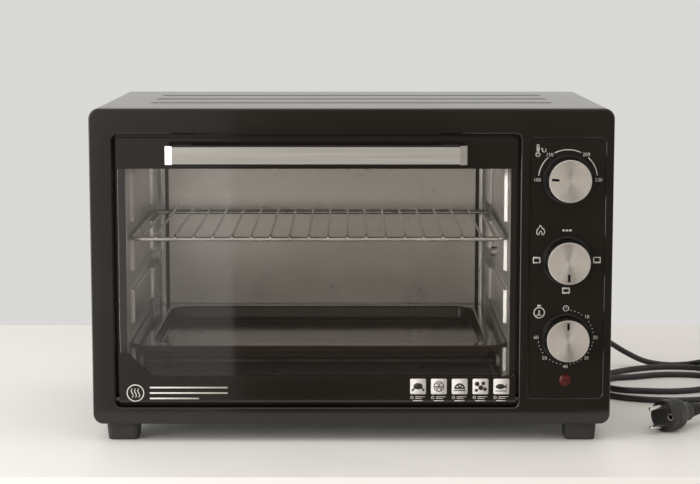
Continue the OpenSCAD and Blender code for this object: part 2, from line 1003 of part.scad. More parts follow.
// curved arms on the bottom rail that reach through the bezel to the springs
module door_quadrants() {
    rail_top = door_z + bottom_rail_h;
    color("#a9abac") in_cavity() {
        for (side = [-1, 1]) {
            difference() {
                sideways(side * arm_u - arm_t / 2, side * arm_u + arm_t / 2) {
                    intersection() {
                        translate([hinge_y, hinge_z]) {
                            difference() {
                                circle(arm_outer_r);
                                circle(arm_inner_r);
                            }
                        }
                        translate([hinge_y, hinge_z]) {
                            polygon([[0, 0], [60, -12], [60, 60], [10, 60]]);
                        }
                        translate([door_back_y, 0]) square([60, body_top]);
                    }
                }
            }
            x_in = side > 0 ? arm_u - 16 : -arm_u - arm_t / 2;
            box(x_in, x_in + 16 + arm_t / 2, door_back_y, door_back_y + 1,
                rail_top - 8, rail_top - 1);
        }
    }
}

// ---- door ----

glass_y = door_face_y + 1.6;
chamfer_w = 25;
chamfer_h = 24;
chamfer_flat = 8;

module door_glass() {
    color([0.35, 0.34, 0.33, 0.35]) behind_front() {
        box(door_x - door_w / 2 + 0.6, door_x + door_w / 2 - 0.6, glass_y, glass_y + glass_t,
            door_z + 10, door_top - 16.5);
    }
}

// the groove that holds the glass, between z0 and z1
module glass_groove(z0, z1) {
    box(door_x - door_w / 2 - 1, door_x + door_w / 2 + 1, glass_y - 0.1,
        glass_y + glass_t + 0.1, z0, z1);
}

module door_top_rail() {
    color("#2b2a28") behind_front() {
        difference() {
            upright(door_face_y, door_back_y) {
                translate([door_x, door_top - top_rail_h / 2]) {
                    rounded_rect(door_w, top_rail_h, 4);
                    translate([0, -top_rail_h / 4])
                        square([door_w, top_rail_h / 2], center = true);
                }
            }
            glass_groove(door_top - top_rail_h - 1, door_top - 16.3);
            for (side = [-1, 1]) {
                rod_y(handle_x + side * handle_post_x, 0, door_back_y + 1, handle_z, 2.1);
            }
        }
    }
}

// bottom rail, rounded about the hinge line, with a raised plate that ends in a chamfer
module door_bottom_rail() {
    left = door_x - door_w / 2;
    rail_top = door_z + bottom_rail_h;
    color("#262421") behind_front() {
        difference() {
            union() {
                sideways(left, left + door_w) {
                    translate([hinge_y, hinge_z]) circle(rail_t / 2);
                    translate([door_face_y, hinge_z]) square([rail_t, rail_top - hinge_z]);
                }
                upright(door_face_y, glass_y - 0.1) {
                    polygon([[left, rail_top - 1], [left + chamfer_flat + chamfer_w, rail_top - 1],
                             [left + chamfer_flat + chamfer_w, rail_top],
                             [left + chamfer_flat, rail_top + chamfer_h],
                             [left, rail_top + chamfer_h]]);
                }
            }
            glass_groove(door_z + 9.8, rail_top + 1);
            rod_x(left - 1, left + 12.1, hinge_y, hinge_z, pin_r + 0.02);
            rod_x(left + door_w - 12.1, left + door_w + 1, hinge_y, hinge_z, pin_r + 0.02);
        }
    }
}

handle_x = -33.7;
handle_z = door_top - 13.8;
handle_post_x = handle_w / 2 - 14;
grip_back_y = -20;

// black bar and its two posts, which stand on the top rail
module handle_grip() {
    trim_back_y = -handle_proud + 2;
    color("#1d1c1b") behind_front() {
        difference() {
            union() {
                upright(trim_back_y, grip_back_y)
                    translate([handle_x, handle_z])
                        rounded_rect(handle_w, handle_h, 3);
                for (side = [-1, 1]) {
                    upright(grip_back_y, door_face_y)
                        translate([handle_x + side * handle_post_x, handle_z])
                            rounded_rect(22, handle_h - 2, 4);
                }
            }
            for (side = [-1, 1]) {
                rod_y(handle_x + side * handle_post_x, grip_back_y + 2, door_face_y + 1,
                      handle_z, 2.05);
            }
        }
    }
}

// satin metal face of the handle
module handle_trim() {
    color("#b9b6b1") behind_front() {
        upright(-handle_proud, -handle_proud + 2)
            translate([handle_x, handle_z]) rounded_rect(handle_w, handle_h - 2, 1.5);
    }
}

module handle_screws() {
    color("silver") behind_front() {
        for (side = [-1, 1]) {
            rod_y(handle_x + side * handle_post_x, door_back_y, door_back_y + 2, handle_z, 3.5);
            rod_y(handle_x + side * handle_post_x, grip_back_y + 4, door_back_y, handle_z, 2);
        }
    }
}

// ---- what slides in ----

rack_back_y = rack_front_y + rack_d;
rack_inset = 9;

// quarter of a bent bar round the point (u, y), turned by a degrees
module bent_bar(u, y, a, r, bar_r) {
    translate([u, y, rack_z]) rotate([0, 0, a]) rotate_extrude(angle = 90)
        translate([r, 0]) circle(bar_r, $fn = 24);
}

// wire frame with doubled sides and back, and thin wires laid across it
module wire_rack() {
    half = slide_half_w - rack_bar_r;
    bend = rack_corner_r;
    wire_z = rack_z + rack_bar_r + rack_wire_r - 0.4;
    pitch = 2 * (half - 24) / (rack_wires - 1);
    color("#c3c0ba") in_cavity() {
        for (y = [rack_front_y + rack_bar_r, rack_back_y - rack_bar_r]) {
            rod_x(-half + bend, half - bend, y, rack_z, rack_bar_r);
        }
        rod_x(-half, half, rack_back_y - rack_bar_r - rack_inset, rack_z, rack_bar_r - 0.5);
        for (side = [-1, 1]) {
            rod_y(side * half, rack_front_y + rack_bar_r + bend,
                  rack_back_y - rack_bar_r - bend, rack_z, rack_bar_r);
            rod_y(side * (half - rack_inset), rack_front_y + rack_bar_r,
                  rack_back_y - rack_bar_r, rack_z, rack_bar_r - 0.5);
        }
        bent_bar(half - bend, rack_front_y + rack_bar_r + bend, -90, bend, rack_bar_r);
        bent_bar(-half + bend, rack_front_y + rack_bar_r + bend, 180, bend, rack_bar_r);
        bent_bar(half - bend, rack_back_y - rack_bar_r - bend, 0, bend, rack_bar_r);
        bent_bar(-half + bend, rack_back_y - rack_bar_r - bend, 90, bend, rack_bar_r);
        for (i = [0 : rack_wires - 1]) {
            rod_y(-half + 24 + i * pitch, rack_front_y + 0.8, rack_back_y - 0.8, wire_z,
                  rack_wire_r);
        }
    }
}

side_rim_w = 20.5;
end_rim_w = 14;
rim_lip_h = 6;

// outline of the tray's rim, drawn in by side and end, with corners of radius r
module tray_outline(side, end, r) {
    translate([0, tray_front_y + tray_d / 2])
        rounded_rect(2 * (slide_half_w - side), tray_d - 2 * end, r);
}

// enamelled tray: rim with a turned-down lip, and a shallow bowl
module baking_tray() {
    floor_z = tray_z - bowl_h;
    color("#2b211c") in_cavity() {
        difference() {
            union() {
                level(tray_z - rim_lip_h, tray_z) tray_outline(0, 0, tray_corner_r);
                level(floor_z, tray_z) tray_outline(side_rim_w - tray_t, end_rim_w - tray_t, 25);
            }
            level(tray_z - rim_lip_h - 1, tray_z - tray_t) {
                difference() {
                    tray_outline(tray_t, tray_t, tray_corner_r - tray_t);
                    tray_outline(side_rim_w - tray_t, end_rim_w - tray_t, 25);
                }
            }
            level(floor_z + tray_t, tray_z + 1) tray_outline(side_rim_w, end_rim_w, 24);
        }
    }
}

// shallow tray on the cavity's floor, with a turned-up front edge to pull
module crumb_tray() {
    half = mouth_u - 2 * wall_step - 3;
    color("#a9a8a4") in_cavity() {
        difference() {
            box(-half, half, 20, 266, cavity_z + gap, cavity_z + gap + 5);
            box(-half + sheet, half - sheet, 20 + sheet, 266 - sheet,
                cavity_z + gap + sheet, cavity_z + gap + 6);
        }
    }
}

outer_shell();
front_frame();
back_panel();
base_plate();
wall_spacers();
feet();
foot_screws();
casing_screws();
cavity_left_wall();
cavity_right_wall();
cavity_back_wall();
cavity_ceiling();
cavity_floor();
heat_shield();
control_panel();
upper_heating_elements();
lower_heating_elements();
element_insulators();
crumb_tray();
thermostat();
function_switch();
timer_mechanism();
timer_bell();
control_screws();
indicator_lens();
indicator_lamp();
rotisserie_motor();
rotisserie_coupling();
terminal_block();
thermal_fuse();
wiring_harness();
cord_gland();
power_cord();
plug_body();
plug_pins();
hinge_brackets();
hinge_pins();
door_springs();
door_glass();
door_top_rail();
door_bottom_rail();
door_quadrants();
handle_grip();
handle_trim();
handle_screws();
temperature_dial();
temperature_cap();
temperature_shaft();
function_dial();
function_cap();
function_shaft();
timer_dial();
timer_cap();
timer_shaft();
wire_rack();
baking_tray();
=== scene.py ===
"""Looks of a counter-top toaster oven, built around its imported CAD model.

Sizes are in millimetres: X to the right, Y as a distance behind the front face, Z above the counter.
"""

import json
import math
from collections import namedtuple

import bmesh
import bpy
from mathutils import Matrix, Vector
from mathutils.geometry import tessellate_polygon


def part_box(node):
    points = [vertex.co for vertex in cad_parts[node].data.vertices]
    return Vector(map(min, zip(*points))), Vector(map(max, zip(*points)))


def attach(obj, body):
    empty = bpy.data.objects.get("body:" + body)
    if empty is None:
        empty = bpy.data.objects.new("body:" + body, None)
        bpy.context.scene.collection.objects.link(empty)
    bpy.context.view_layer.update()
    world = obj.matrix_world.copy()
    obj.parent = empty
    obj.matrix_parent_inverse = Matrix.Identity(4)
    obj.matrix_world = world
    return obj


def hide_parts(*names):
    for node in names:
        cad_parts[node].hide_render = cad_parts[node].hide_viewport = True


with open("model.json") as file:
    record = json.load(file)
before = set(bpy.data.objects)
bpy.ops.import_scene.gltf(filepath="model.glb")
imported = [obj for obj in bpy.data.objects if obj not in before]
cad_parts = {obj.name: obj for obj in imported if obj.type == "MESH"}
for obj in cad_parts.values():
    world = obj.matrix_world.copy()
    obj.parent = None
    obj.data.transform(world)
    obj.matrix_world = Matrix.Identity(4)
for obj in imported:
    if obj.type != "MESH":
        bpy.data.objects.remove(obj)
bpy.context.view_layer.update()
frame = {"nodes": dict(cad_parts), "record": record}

MM = 0.001
FRONT_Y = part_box("front_frame")[0].y
Span = namedtuple("Span", "x0 x1 y0 y1 z0 z1")


def at(x, y, z):
    """Point in metres from millimetres across, behind the front face and above the counter."""
    return Vector((x * MM, FRONT_Y + y * MM, z * MM))


def span(node):
    """Box of a CAD node at rest, in millimetres."""
    low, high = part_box(node)
    return Span(low.x / MM, high.x / MM, (low.y - FRONT_Y) / MM, (high.y - FRONT_Y) / MM,
                low.z / MM, high.z / MM)


def add_object(name, data):
    """New object in the scene."""
    piece = bpy.data.objects.new(name, data)
    bpy.context.scene.collection.objects.link(piece)
    return piece


# ---- camera ----

CAMERA_PLACE = (-1.5, -1874, 446)
CAMERA_DIP = 7.55
LENS = 100.65


def make_camera():
    """Camera almost two metres in front of the oven, a little above it and looking slightly down."""
    data = bpy.data.cameras.new("camera")
    data.sensor_width = 36
    data.lens = LENS
    camera = add_object("camera", data)
    camera.location = at(*CAMERA_PLACE)
    camera.rotation_euler = (math.radians(90 - CAMERA_DIP), 0, 0)
    bpy.context.scene.camera = camera


# ---- materials ----

class Paint:
    """A Principled material whose colour, roughness and bump come from textures in object space."""

    def __init__(self, name, **fixed):
        self.material = bpy.data.materials.new(name)
        self.material.use_nodes = True
        self.nodes = self.material.node_tree.nodes
        self.links = self.material.node_tree.links
        self.shader = self.nodes["Principled BSDF"]
        for socket, value in fixed.items():
            self.shader.inputs[socket.replace("_", " ")].default_value = value
        self.place = self.nodes.new("ShaderNodeTexCoord").outputs["Object"]
        self.height = None

    def mapped(self, stretch):
        """Object coordinates scaled by stretch along X, Y and Z."""
        node = self.nodes.new("ShaderNodeMapping")
        node.inputs["Scale"].default_value = stretch
        self.links.new(self.place, node.inputs["Vector"])
        return node.outputs["Vector"]

    def noise(self, scale, detail=3.0, stretch=None):
        node = self.nodes.new("ShaderNodeTexNoise")
        node.inputs["Scale"].default_value = scale
        node.inputs["Detail"].default_value = detail
        self.links.new(self.mapped(stretch) if stretch else self.place, node.inputs["Vector"])
        return node.outputs["Fac"]

    def cells(self, scale, stretch=None):
        node = self.nodes.new("ShaderNodeTexVoronoi")
        node.inputs["Scale"].default_value = scale
        self.links.new(self.mapped(stretch) if stretch else self.place, node.inputs["Vector"])
        spread = self.nodes.new("ShaderNodeSeparateColor")
        self.links.new(node.outputs["Color"], spread.inputs["Color"])
        return spread.outputs["Red"]

    def spread(self, value, low, high, start=0.3, stop=0.7):
        """Value between start and stop, carried over to low and high."""
        node = self.nodes.new("ShaderNodeMapRange")
        for socket, number in (("From Min", start), ("From Max", stop), ("To Min", low),
                               ("To Max", high)):
            node.inputs[socket].default_value = number
        self.links.new(value, node.inputs["Value"])
        return node.outputs["Result"]

    def colour(self, value, dark, light, start=0.3, stop=0.7):
        ramp = self.nodes.new("ShaderNodeValToRGB")
        for element, place, shade in zip(ramp.color_ramp.elements, (start, stop), (dark, light)):
            element.position = place
            element.color = (*shade, 1)
        self.links.new(value, ramp.inputs["Fac"])
        self.links.new(ramp.outputs["Color"], self.shader.inputs["Base Color"])
        return self

    def paint_shade_below(self, shade, z0, z1):
        """Darkens the colour below the height z0 by the shade as painted shade, less and less up to z1;
        in metres.
        """
        parts = self.nodes.new("ShaderNodeSeparateXYZ")
        self.links.new(self.place, parts.inputs["Vector"])
        mix = self.nodes.new("ShaderNodeMix")
        mix.data_type = "RGBA"
        mix.blend_type = "MULTIPLY"
        mix.inputs["B"].default_value = (*shade, 1)
        base = self.shader.inputs["Base Color"]
        self.links.new(self.spread(parts.outputs["Z"], 1, 0, z0, z1), mix.inputs["Factor"])
        self.links.new(base.links[0].from_socket, mix.inputs["A"])
        self.links.new(mix.outputs["Result"], base)
        return self

    def roughness(self, value, low, high, start=0.3, stop=0.7):
        self.links.new(self.spread(value, low, high, start, stop),
                       self.shader.inputs["Roughness"])
        return self

    def bump(self, value, depth, strength=0.6):
        """Adds a relief of that depth in millimetres on top of any before it."""
        node = self.nodes.new("ShaderNodeBump")
        node.inputs["Distance"].default_value = depth * MM
        node.inputs["Strength"].default_value = strength
        self.links.new(value, node.inputs["Height"])
        if self.height:
            self.links.new(self.height, node.inputs["Normal"])
        self.height = node.outputs["Normal"]
        self.links.new(self.height, self.shader.inputs["Normal"])
        return self


def plain_paint(name, fixed, grain, dark, light, dull, rough, *reliefs):
    """Material whose colour, roughness and reliefs each follow a noise of their own."""
    paint = Paint(name, **fixed)
    paint.colour(paint.noise(*grain), dark, light)
    paint.roughness(paint.noise(*dull), *rough)
    for noise, depth, *strength in reliefs:
        paint.bump(paint.noise(*noise), depth, *strength)
    return paint


METAL = {"Metallic": 1.0}
# name, fixed values, noise of the colour, dark, light, noise of the roughness, its range, reliefs
PLAIN_PAINTS = (
    # baked paint on pressed steel: fine orange peel and faint handling marks
    ("satin_black_paint", {"IOR": 1.5}, (7,), (0.0084, 0.0070, 0.0052), (0.0112, 0.0095, 0.0073),
     (16, 5), (0.08, 0.12), ((650, 2), 0.004), ((2600, 1), 0.001)),
    # moulded plastic with a fine spark-eroded grain
    ("black_plastic", {"IOR": 1.48}, (30,), (0.0098, 0.0084, 0.0070), (0.0142, 0.0124, 0.0106),
     (60, 4), (0.42, 0.55), ((2200, 2), 0.03)),
    # deep black plastic of the dials, with hairline marks
    ("gloss_black", {"IOR": 1.5, "Specular_IOR_Level": 0.25}, (40,),
     (0.0022, 0.0020, 0.0018), (0.0040, 0.0036, 0.0032),
     (90, 6), (0.14, 0.24), ((900, 3, (1, 6, 1)), 0.006)),
    # hot-dipped sheet of the cavity: matt metal with a rolled grain and soft blotches
    ("aluminised_steel", {"Metallic": 0.8}, (14, 5), (0.74, 0.73, 0.715), (0.84, 0.83, 0.81),
     (35, 5), (0.26, 0.36), ((260, 3, (1, 0.12, 1)), 0.02), ((40, 2), 0.15, 0.3)),
    # stainless strip brushed along its length
    ("brushed_trim", METAL, (220, 4, (0.02, 1, 1)), (0.43, 0.42, 0.405), (0.53, 0.52, 0.505),
     (420, 4, (0.015, 1, 1)), (0.36, 0.46), ((1500, 3, (0.012, 1, 1)), 0.02)),
    # drawn wire with bright plating, a little dulled by heat
    ("chrome_wire", METAL, (50, 4), (0.50, 0.485, 0.465), (0.72, 0.705, 0.685),
     (90, 3), (0.16, 0.3), ((700, 2), 0.01)),
    ("ceramic", {"IOR": 1.5}, (180,), (0.62, 0.58, 0.5), (0.76, 0.73, 0.66),
     (240,), (0.35, 0.6), ((800, 3), 0.05)),
    # heater sheath: dark oxide with straw and blue tints from heat
    ("element_steel", {"Metallic": 0.7}, (38, 4), (0.055, 0.052, 0.055), (0.16, 0.135, 0.11),
     (120, 3), (0.42, 0.62), ((900, 3), 0.02)),
    ("brass_parts", METAL, (70, 4), (0.42, 0.31, 0.14), (0.60, 0.46, 0.22),
     (150, 3), (0.28, 0.45), ((600, 2), 0.02)),
    # deep red plastic of the pilot lamp, unlit, with a pebbled inside
    ("red_lens", {"IOR": 1.49, "Specular_IOR_Level": 0.3}, (260, 3),
     (0.045, 0.0016, 0.0012), (0.075, 0.0026, 0.0018), (400,), (0.16, 0.28), ((500, 2), 0.03, 0.4)),
    ("amber_glass", {"IOR": 1.5, "Transmission_Weight": 0.6}, (150,), (0.6, 0.3, 0.1),
     (0.8, 0.5, 0.25), (200,), (0.08, 0.2), ((500,), 0.02)),
    # black flexible PVC: dull skin with slight waviness
    ("cord_rubber", {"IOR": 1.5}, (60, 4), (0.0085, 0.0083, 0.008), (0.0135, 0.0132, 0.0128),
     (130, 4), (0.34, 0.48), ((1500, 2), 0.015), ((90, 1), 0.08, 0.3)),
    ("foot_rubber", {"IOR": 1.5}, (120, 4), (0.014, 0.0138, 0.0134), (0.024, 0.0235, 0.023),
     (200, 4), (0.5, 0.7), ((1300, 3), 0.05)),
    ("wire_sheath", {"IOR": 1.5}, (200,), (0.22, 0.02, 0.015), (0.34, 0.04, 0.03),
     (300,), (0.4, 0.55), ((1500,), 0.02)),
    ("cream_plastic", {"IOR": 1.48}, (150,), (0.6, 0.565, 0.48), (0.72, 0.69, 0.6),
     (220,), (0.4, 0.55), ((1300,), 0.03)),
    ("nickel_plate", METAL, (90, 4), (0.56, 0.545, 0.52), (0.72, 0.705, 0.68),
     (200, 3), (0.15, 0.28), ((700, 2), 0.008)),
    # screen-printed inks, thin enough to vary a little
    ("white_ink", {"IOR": 1.45}, (500, 4), (0.60, 0.575, 0.55), (0.72, 0.70, 0.675),
     (300,), (0.4, 0.55), ((3000,), 0.01)),
    ("grey_ink", {"IOR": 1.45}, (500, 4), (0.46, 0.455, 0.44), (0.60, 0.595, 0.58),
     (300,), (0.4, 0.55), ((3000,), 0.01)))


def lit_back_wall_steel():
    """The cavity's sheet behind the food: a lighter copy of the aluminised steel as painted light, with
    painted shade darkening it towards the bottom.
    """
    # painted light: the same sheet as aluminised_steel in a lighter colour
    paint = plain_paint("lit_back_wall_steel", {"Metallic": 0.8}, (14, 5), (0.88, 0.872, 0.857),
                        (0.97, 0.96, 0.945), (35, 5), (0.26, 0.36),
                        ((260, 3, (1, 0.12, 1)), 0.02), ((40, 2), 0.15, 0.3))
    # painted shade: the colour is darkened below 85 mm and blends back by 180 mm
    return paint.paint_shade_below((0.66, 0.64, 0.62), 0.085, 0.18)


def zinc_steel():
    """Galvanised sheet with its pattern of crystals."""
    paint = Paint("zinc_steel", Metallic=1.0)
    paint.colour(paint.cells(110), (0.36, 0.37, 0.38), (0.56, 0.57, 0.58), 0.0, 1.0)
    paint.roughness(paint.cells(110), 0.3, 0.5, 0.0, 1.0)
    return paint.bump(paint.noise(400, 3), 0.02)


def spun_metal():
    """Aluminium turned on a lathe: rings round the middle and a sheen that fans out from it."""
    paint = Paint("spun_metal", Metallic=1.0, Anisotropic=0.9)
    tangent = paint.nodes.new("ShaderNodeTangent")
    tangent.direction_type = "RADIAL"
    tangent.axis = "Y"
    paint.links.new(tangent.outputs["Tangent"], paint.shader.inputs["Tangent"])
    paint.colour(paint.noise(45, 4), (0.51, 0.485, 0.455), (0.57, 0.545, 0.515))
    paint.roughness(paint.noise(160, 4), 0.32, 0.38)
    middle = paint.nodes.new("ShaderNodeVectorMath")
    middle.operation = "SUBTRACT"
    middle.inputs[1].default_value = (0.5, 0.5, 0.5)
    place = paint.nodes["Texture Coordinate"].outputs["Generated"]
    paint.links.new(place, middle.inputs[0])
    wave = paint.nodes.new("ShaderNodeTexWave")
    wave.wave_type = "RINGS"
    wave.rings_direction = "Y"
    wave.inputs["Scale"].default_value = 22
    wave.inputs["Distortion"].default_value = 1.2
    wave.inputs["Detail"].default_value = 3
    paint.links.new(middle.outputs["Vector"], wave.inputs["Vector"])
    return paint.bump(wave.outputs["Fac"], 0.012, 0.5)


def tray_enamel():
    """Dark brown vitreous enamel with a fine speckle and a gently rippled gloss."""
    paint = Paint("tray_enamel", IOR=1.52, Specular_IOR_Level=0.3)
    paint.colour(paint.noise(1500, 2), (0.024, 0.0145, 0.0085), (0.031, 0.0190, 0.0115), 0.35, 0.75)
    paint.roughness(paint.noise(45, 4), 0.10, 0.16)
    return paint.bump(paint.noise(60, 2), 0.004)


def tinted_glass():
    """Tempered pane: clear with a slight smoke tint, reflecting more as it is seen more aslant."""
    material = bpy.data.materials.new("tinted_glass")
    material.use_nodes = True
    nodes, links = material.node_tree.nodes, material.node_tree.links
    nodes.remove(nodes["Principled BSDF"])
    clear = nodes.new("ShaderNodeBsdfTransparent")
    clear.inputs["Color"].default_value = (0.90, 0.895, 0.885, 1)
    gloss = nodes.new("ShaderNodeBsdfGlossy")
    gloss.inputs["Color"].default_value = (1, 1, 1, 1)
    smudge = nodes.new("ShaderNodeTexNoise")
    smudge.inputs["Scale"].default_value = 9
    smudge.inputs["Detail"].default_value = 6
    place = nodes.new("ShaderNodeTexCoord")
    links.new(place.outputs["Object"], smudge.inputs["Vector"])
    haze = nodes.new("ShaderNodeMapRange")
    haze.inputs["To Min"].default_value = 0.015
    haze.inputs["To Max"].default_value = 0.06
    links.new(smudge.outputs["Fac"], haze.inputs["Value"])
    links.new(haze.outputs["Result"], gloss.inputs["Roughness"])
    fresnel = nodes.new("ShaderNodeFresnel")
    fresnel.inputs["IOR"].default_value = 1.5
    inside = nodes.new("ShaderNodeNewGeometry")
    outside = nodes.new("ShaderNodeMath")
    outside.operation = "SUBTRACT"
    outside.inputs[0].default_value = 1.8
    doubled = nodes.new("ShaderNodeMath")
    doubled.operation = "MULTIPLY"
    doubled.inputs[1].default_value = 1.8
    links.new(inside.outputs["Backfacing"], doubled.inputs[0])
    links.new(doubled.outputs["Value"], outside.inputs[1])
    share = nodes.new("ShaderNodeMath")
    share.operation = "MULTIPLY"
    share.use_clamp = True
    links.new(fresnel.outputs["Fac"], share.inputs[0])
    links.new(outside.outputs["Value"], share.inputs[1])
    mix = nodes.new("ShaderNodeMixShader")
    links.new(share.outputs["Value"], mix.inputs["Fac"])
    links.new(clear.outputs["BSDF"], mix.inputs[1])
    links.new(gloss.outputs["BSDF"], mix.inputs[2])
    links.new(mix.outputs["Shader"], nodes["Material Output"].inputs["Surface"])
    return material


MATERIALS = {row[0]: plain_paint(*row).material for row in PLAIN_PAINTS}
for make in (lit_back_wall_steel, zinc_steel, spun_metal, tray_enamel):
    MATERIALS[make.__name__] = make().material
MATERIALS["tinted_glass"] = tinted_glass()
INK_SLOTS = {"white_ink": "cream_plastic", "grey_ink": "cream_plastic"}


# ---- mesh tools ----

def rounded(x0, x1, z0, z1, r, steps=6):
    """Rectangle with round corners as (x, z) points, anticlockwise."""
    centres = ((x1 - r, z0 + r), (x1 - r, z1 - r), (x0 + r, z1 - r), (x0 + r, z0 + r))
    points = []
    for quarter, (cx, cz) in enumerate(centres):
        for i in range(steps + 1):
            angle = math.radians(90 * (quarter - 1 + i / steps))
            points.append((cx + r * math.cos(angle), cz + r * math.sin(angle)))
    return points


def circle(cx, cz, r, sides=32):
    return [(cx + r * math.cos(a), cz + r * math.sin(a))
            for a in (2 * math.pi * i / sides for i in range(sides))]


def fillet(r, steps=4):
    """(inset, depth) along a rounded edge, from its side wall to its face."""
    angles = (math.pi / 2 * i / steps for i in range(steps + 1))
    return [(r - r * math.cos(a), r - r * math.sin(a)) for a in angles]


def hole_edge(r, steps=5):
    """(growth, depth) along the rounded edge of a hole, from the face into the hole."""
    angles = (math.pi / 2 * i / steps for i in range(steps + 1))
    return [(r - r * math.sin(a), r - r * math.cos(a)) for a in angles]


class Builder:
    """Collects rings of points, the bands between them and flat plates into one mesh."""

    def __init__(self):
        self.bm = bmesh.new()

    def ring(self, points):
        return [self.bm.verts.new(p) for p in points]

    def upright(self, outline, y):
        """Ring from an (x, z) outline at depth y."""
        return self.ring([at(x, y, z) for x, z in outline])

    def level(self, outline, z):
        """Ring from an (x, y) outline at height z."""
        return self.ring([at(x, y, z) for x, y in outline])

    def band(self, a, b, closed=True):
        for i in range(len(a) if closed else len(a) - 1):
            j = (i + 1) % len(a)
            self.bm.faces.new((a[i], a[j], b[j], b[i]))

    def bands(self, rings, closed=True):
        for a, b in zip(rings, rings[1:]):
            self.band(a, b, closed)

    def plate(self, *loops):
        """Flat face inside the first ring and outside the others."""
        verts = [v for loop in loops for v in loop]
        for corners in tessellate_polygon([[v.co for v in loop] for loop in loops]):
            self.bm.faces.new([verts[i] for i in corners])

    def prism(self, outline, y0, y1):
        """Solid between y0 and y1 with an (x, z) outline."""
        self.capped([self.upright(outline, y0), self.upright(outline, y1)])

    def lathe(self, profile, place=None, sides=64):
        """Turned solid from (radius, distance along +Y) pairs that start and end on the axis."""
        place = place or Matrix.Identity(4)
        rings = []
        for r, along in profile:
            if r == 0:
                rings.append([self.bm.verts.new(place @ Vector((0, along * MM, 0)))])
                continue
            points = [Vector((r * c * MM, along * MM, r * s * MM)) for c, s in circle(0, 0, 1, sides)]
            rings.append(self.ring([place @ p for p in points]))
        for a, b in zip(rings, rings[1:]):
            if len(a) == 1 or len(b) == 1:
                tip, rim = (a[0], b) if len(a) == 1 else (b[0], a)
                for i, v in enumerate(rim):
                    self.bm.faces.new((tip, v, rim[(i + 1) % len(rim)]))
            else:
                self.band(a, b)

    def sweep(self, path, r, sides=12, closed=False):
        """Round bar along points in metres; r is one radius or a list of them, in millimetres."""
        count = len(path)
        radii = r if isinstance(r, list) else [r] * count
        rings = []
        side = None
        for i, p in enumerate(path):
            after = path[(i + 1) % count] if closed else path[min(i + 1, count - 1)]
            before = path[i - 1] if closed else path[max(i - 1, 0)]
            heading = (after - before).normalized()
            if side is None:
                side = heading.cross(Vector((0, 0, 1)) if abs(heading.z) < 0.9 else Vector((1, 0, 0)))
            side = (side - heading * side.dot(heading)).normalized()
            up = side.cross(heading)
            rings.append(self.ring([p + (side * c + up * s) * radii[i] * MM
                                    for c, s in circle(0, 0, 1, sides)]))
        if closed:
            self.bands(rings + [rings[0]])
        else:
            self.capped(rings)

    def capped(self, rings):
        """Bands from ring to ring, closed by a plate at either end."""
        self.bands(rings)
        self.plate(rings[0])
        self.plate(rings[-1])

    def face_outwards(self):
        bmesh.ops.recalc_face_normals(self.bm, faces=self.bm.faces)

    def to_object(self, name):
        mesh = bpy.data.meshes.new(name)
        self.bm.to_mesh(mesh)
        self.bm.free()
        return add_object(name, mesh)

    def done(self, name, body, slot, material=None, replaces=(), sharp=35, normals=True):
        """Turns the mesh into a piece of the oven."""
        self.face_outwards()
        limit = math.radians(sharp)
        for face in self.bm.faces:
            face.smooth = True
        for edge in self.bm.edges:
            if len(edge.link_faces) == 2:
                edge.smooth = edge.calc_face_angle() < limit
        piece = self.to_object(name)
        if normals:
            weigh_normals(piece)
        return finish_piece(piece, body, slot, material, replaces)


def weigh_normals(piece):
    modifier = piece.modifiers.new("normals", "WEIGHTED_NORMAL")
    modifier.keep_sharp = True


def finish_piece(piece, body, slot, material=None, replaces=()):
    piece.data.materials.append(MATERIALS[material or slot])
    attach(piece, body)
    if replaces:
        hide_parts(*replaces)
    return piece


def move_first(piece):
    """Puts a piece's newest modifier before the others."""
    piece.modifiers.move(len(piece.modifiers) - 1, 0)


def bevel(piece, width, segments=3, first=False):
    """Rounds a piece's sharp edges by width millimetres."""
    modifier = piece.modifiers.new("edges", "BEVEL")
    modifier.width = width * MM
    modifier.segments = segments
    modifier.limit_method = "ANGLE"
    modifier.angle_limit = math.radians(32)
    if first:
        move_first(piece)


def thicken(piece, thickness, offset):
    """Makes a sheet of a skin, in millimetres; offset tells the side it grows to."""
    modifier = piece.modifiers.new("thickness", "SOLIDIFY")
    modifier.thickness = thickness * MM
    modifier.offset = offset


def shown_mesh(piece):
    """Mesh of a piece with its modifiers carried out."""
    shown = piece.evaluated_get(bpy.context.evaluated_depsgraph_get())
    return bpy.data.meshes.new_from_object(shown)


def cut(piece, tool):
    """Takes the tool's shape out of the piece and drops the tool."""
    modifier = piece.modifiers.new("cut", "BOOLEAN")
    modifier.operation = "DIFFERENCE"
    modifier.solver = "EXACT"
    modifier.object = tool
    move_first(piece)
    mesh = shown_mesh(piece)
    piece.modifiers.clear()
    piece.data = mesh
    bpy.data.objects.remove(tool)


def tool_from(builder):
    """A loose object for cut(), never shown."""
    builder.face_outwards()
    return builder.to_object("tool")


# ---- shared places ----

CASE = span("front_frame")
CORNER_R = 10
SHEET = 0.8
DOOR = Span(span("door_bottom_rail").x0, span("door_bottom_rail").x1,
            span("door_bottom_rail").y0, span("door_bottom_rail").y1,
            span("door_bottom_rail").z0, span("door_top_rail").z1)
OPENING = (DOOR.x0 - 3.7, DOOR.x1 + 2.9, DOOR.z0 - 2.4, DOOR.z1 + 4.3)
MOUTH = (span("cavity_left_wall").x0 + SHEET, span("cavity_right_wall").x1 - SHEET,
         span("cavity_floor").z1, span("cavity_ceiling").z0)
CAVITY_X = (MOUTH[0] + MOUTH[1]) / 2
PANEL = span("control_panel")
WINDOW = (PANEL.x0 + 3.5, PANEL.x1 - 3.5, PANEL.z0 + 3.5, PANEL.z1 - 3.5)
DIALS = ("temperature", "function", "timer")


def centre(node):
    """Middle of a CAD node's box, in millimetres."""
    s = span(node)
    return (s.x0 + s.x1) / 2, (s.y0 + s.y1) / 2, (s.z0 + s.z1) / 2


def grown(outline, by):
    x0, x1, z0, z1 = outline
    return x0 - by, x1 + by, z0 - by, z1 + by


# ---- mains cord ----

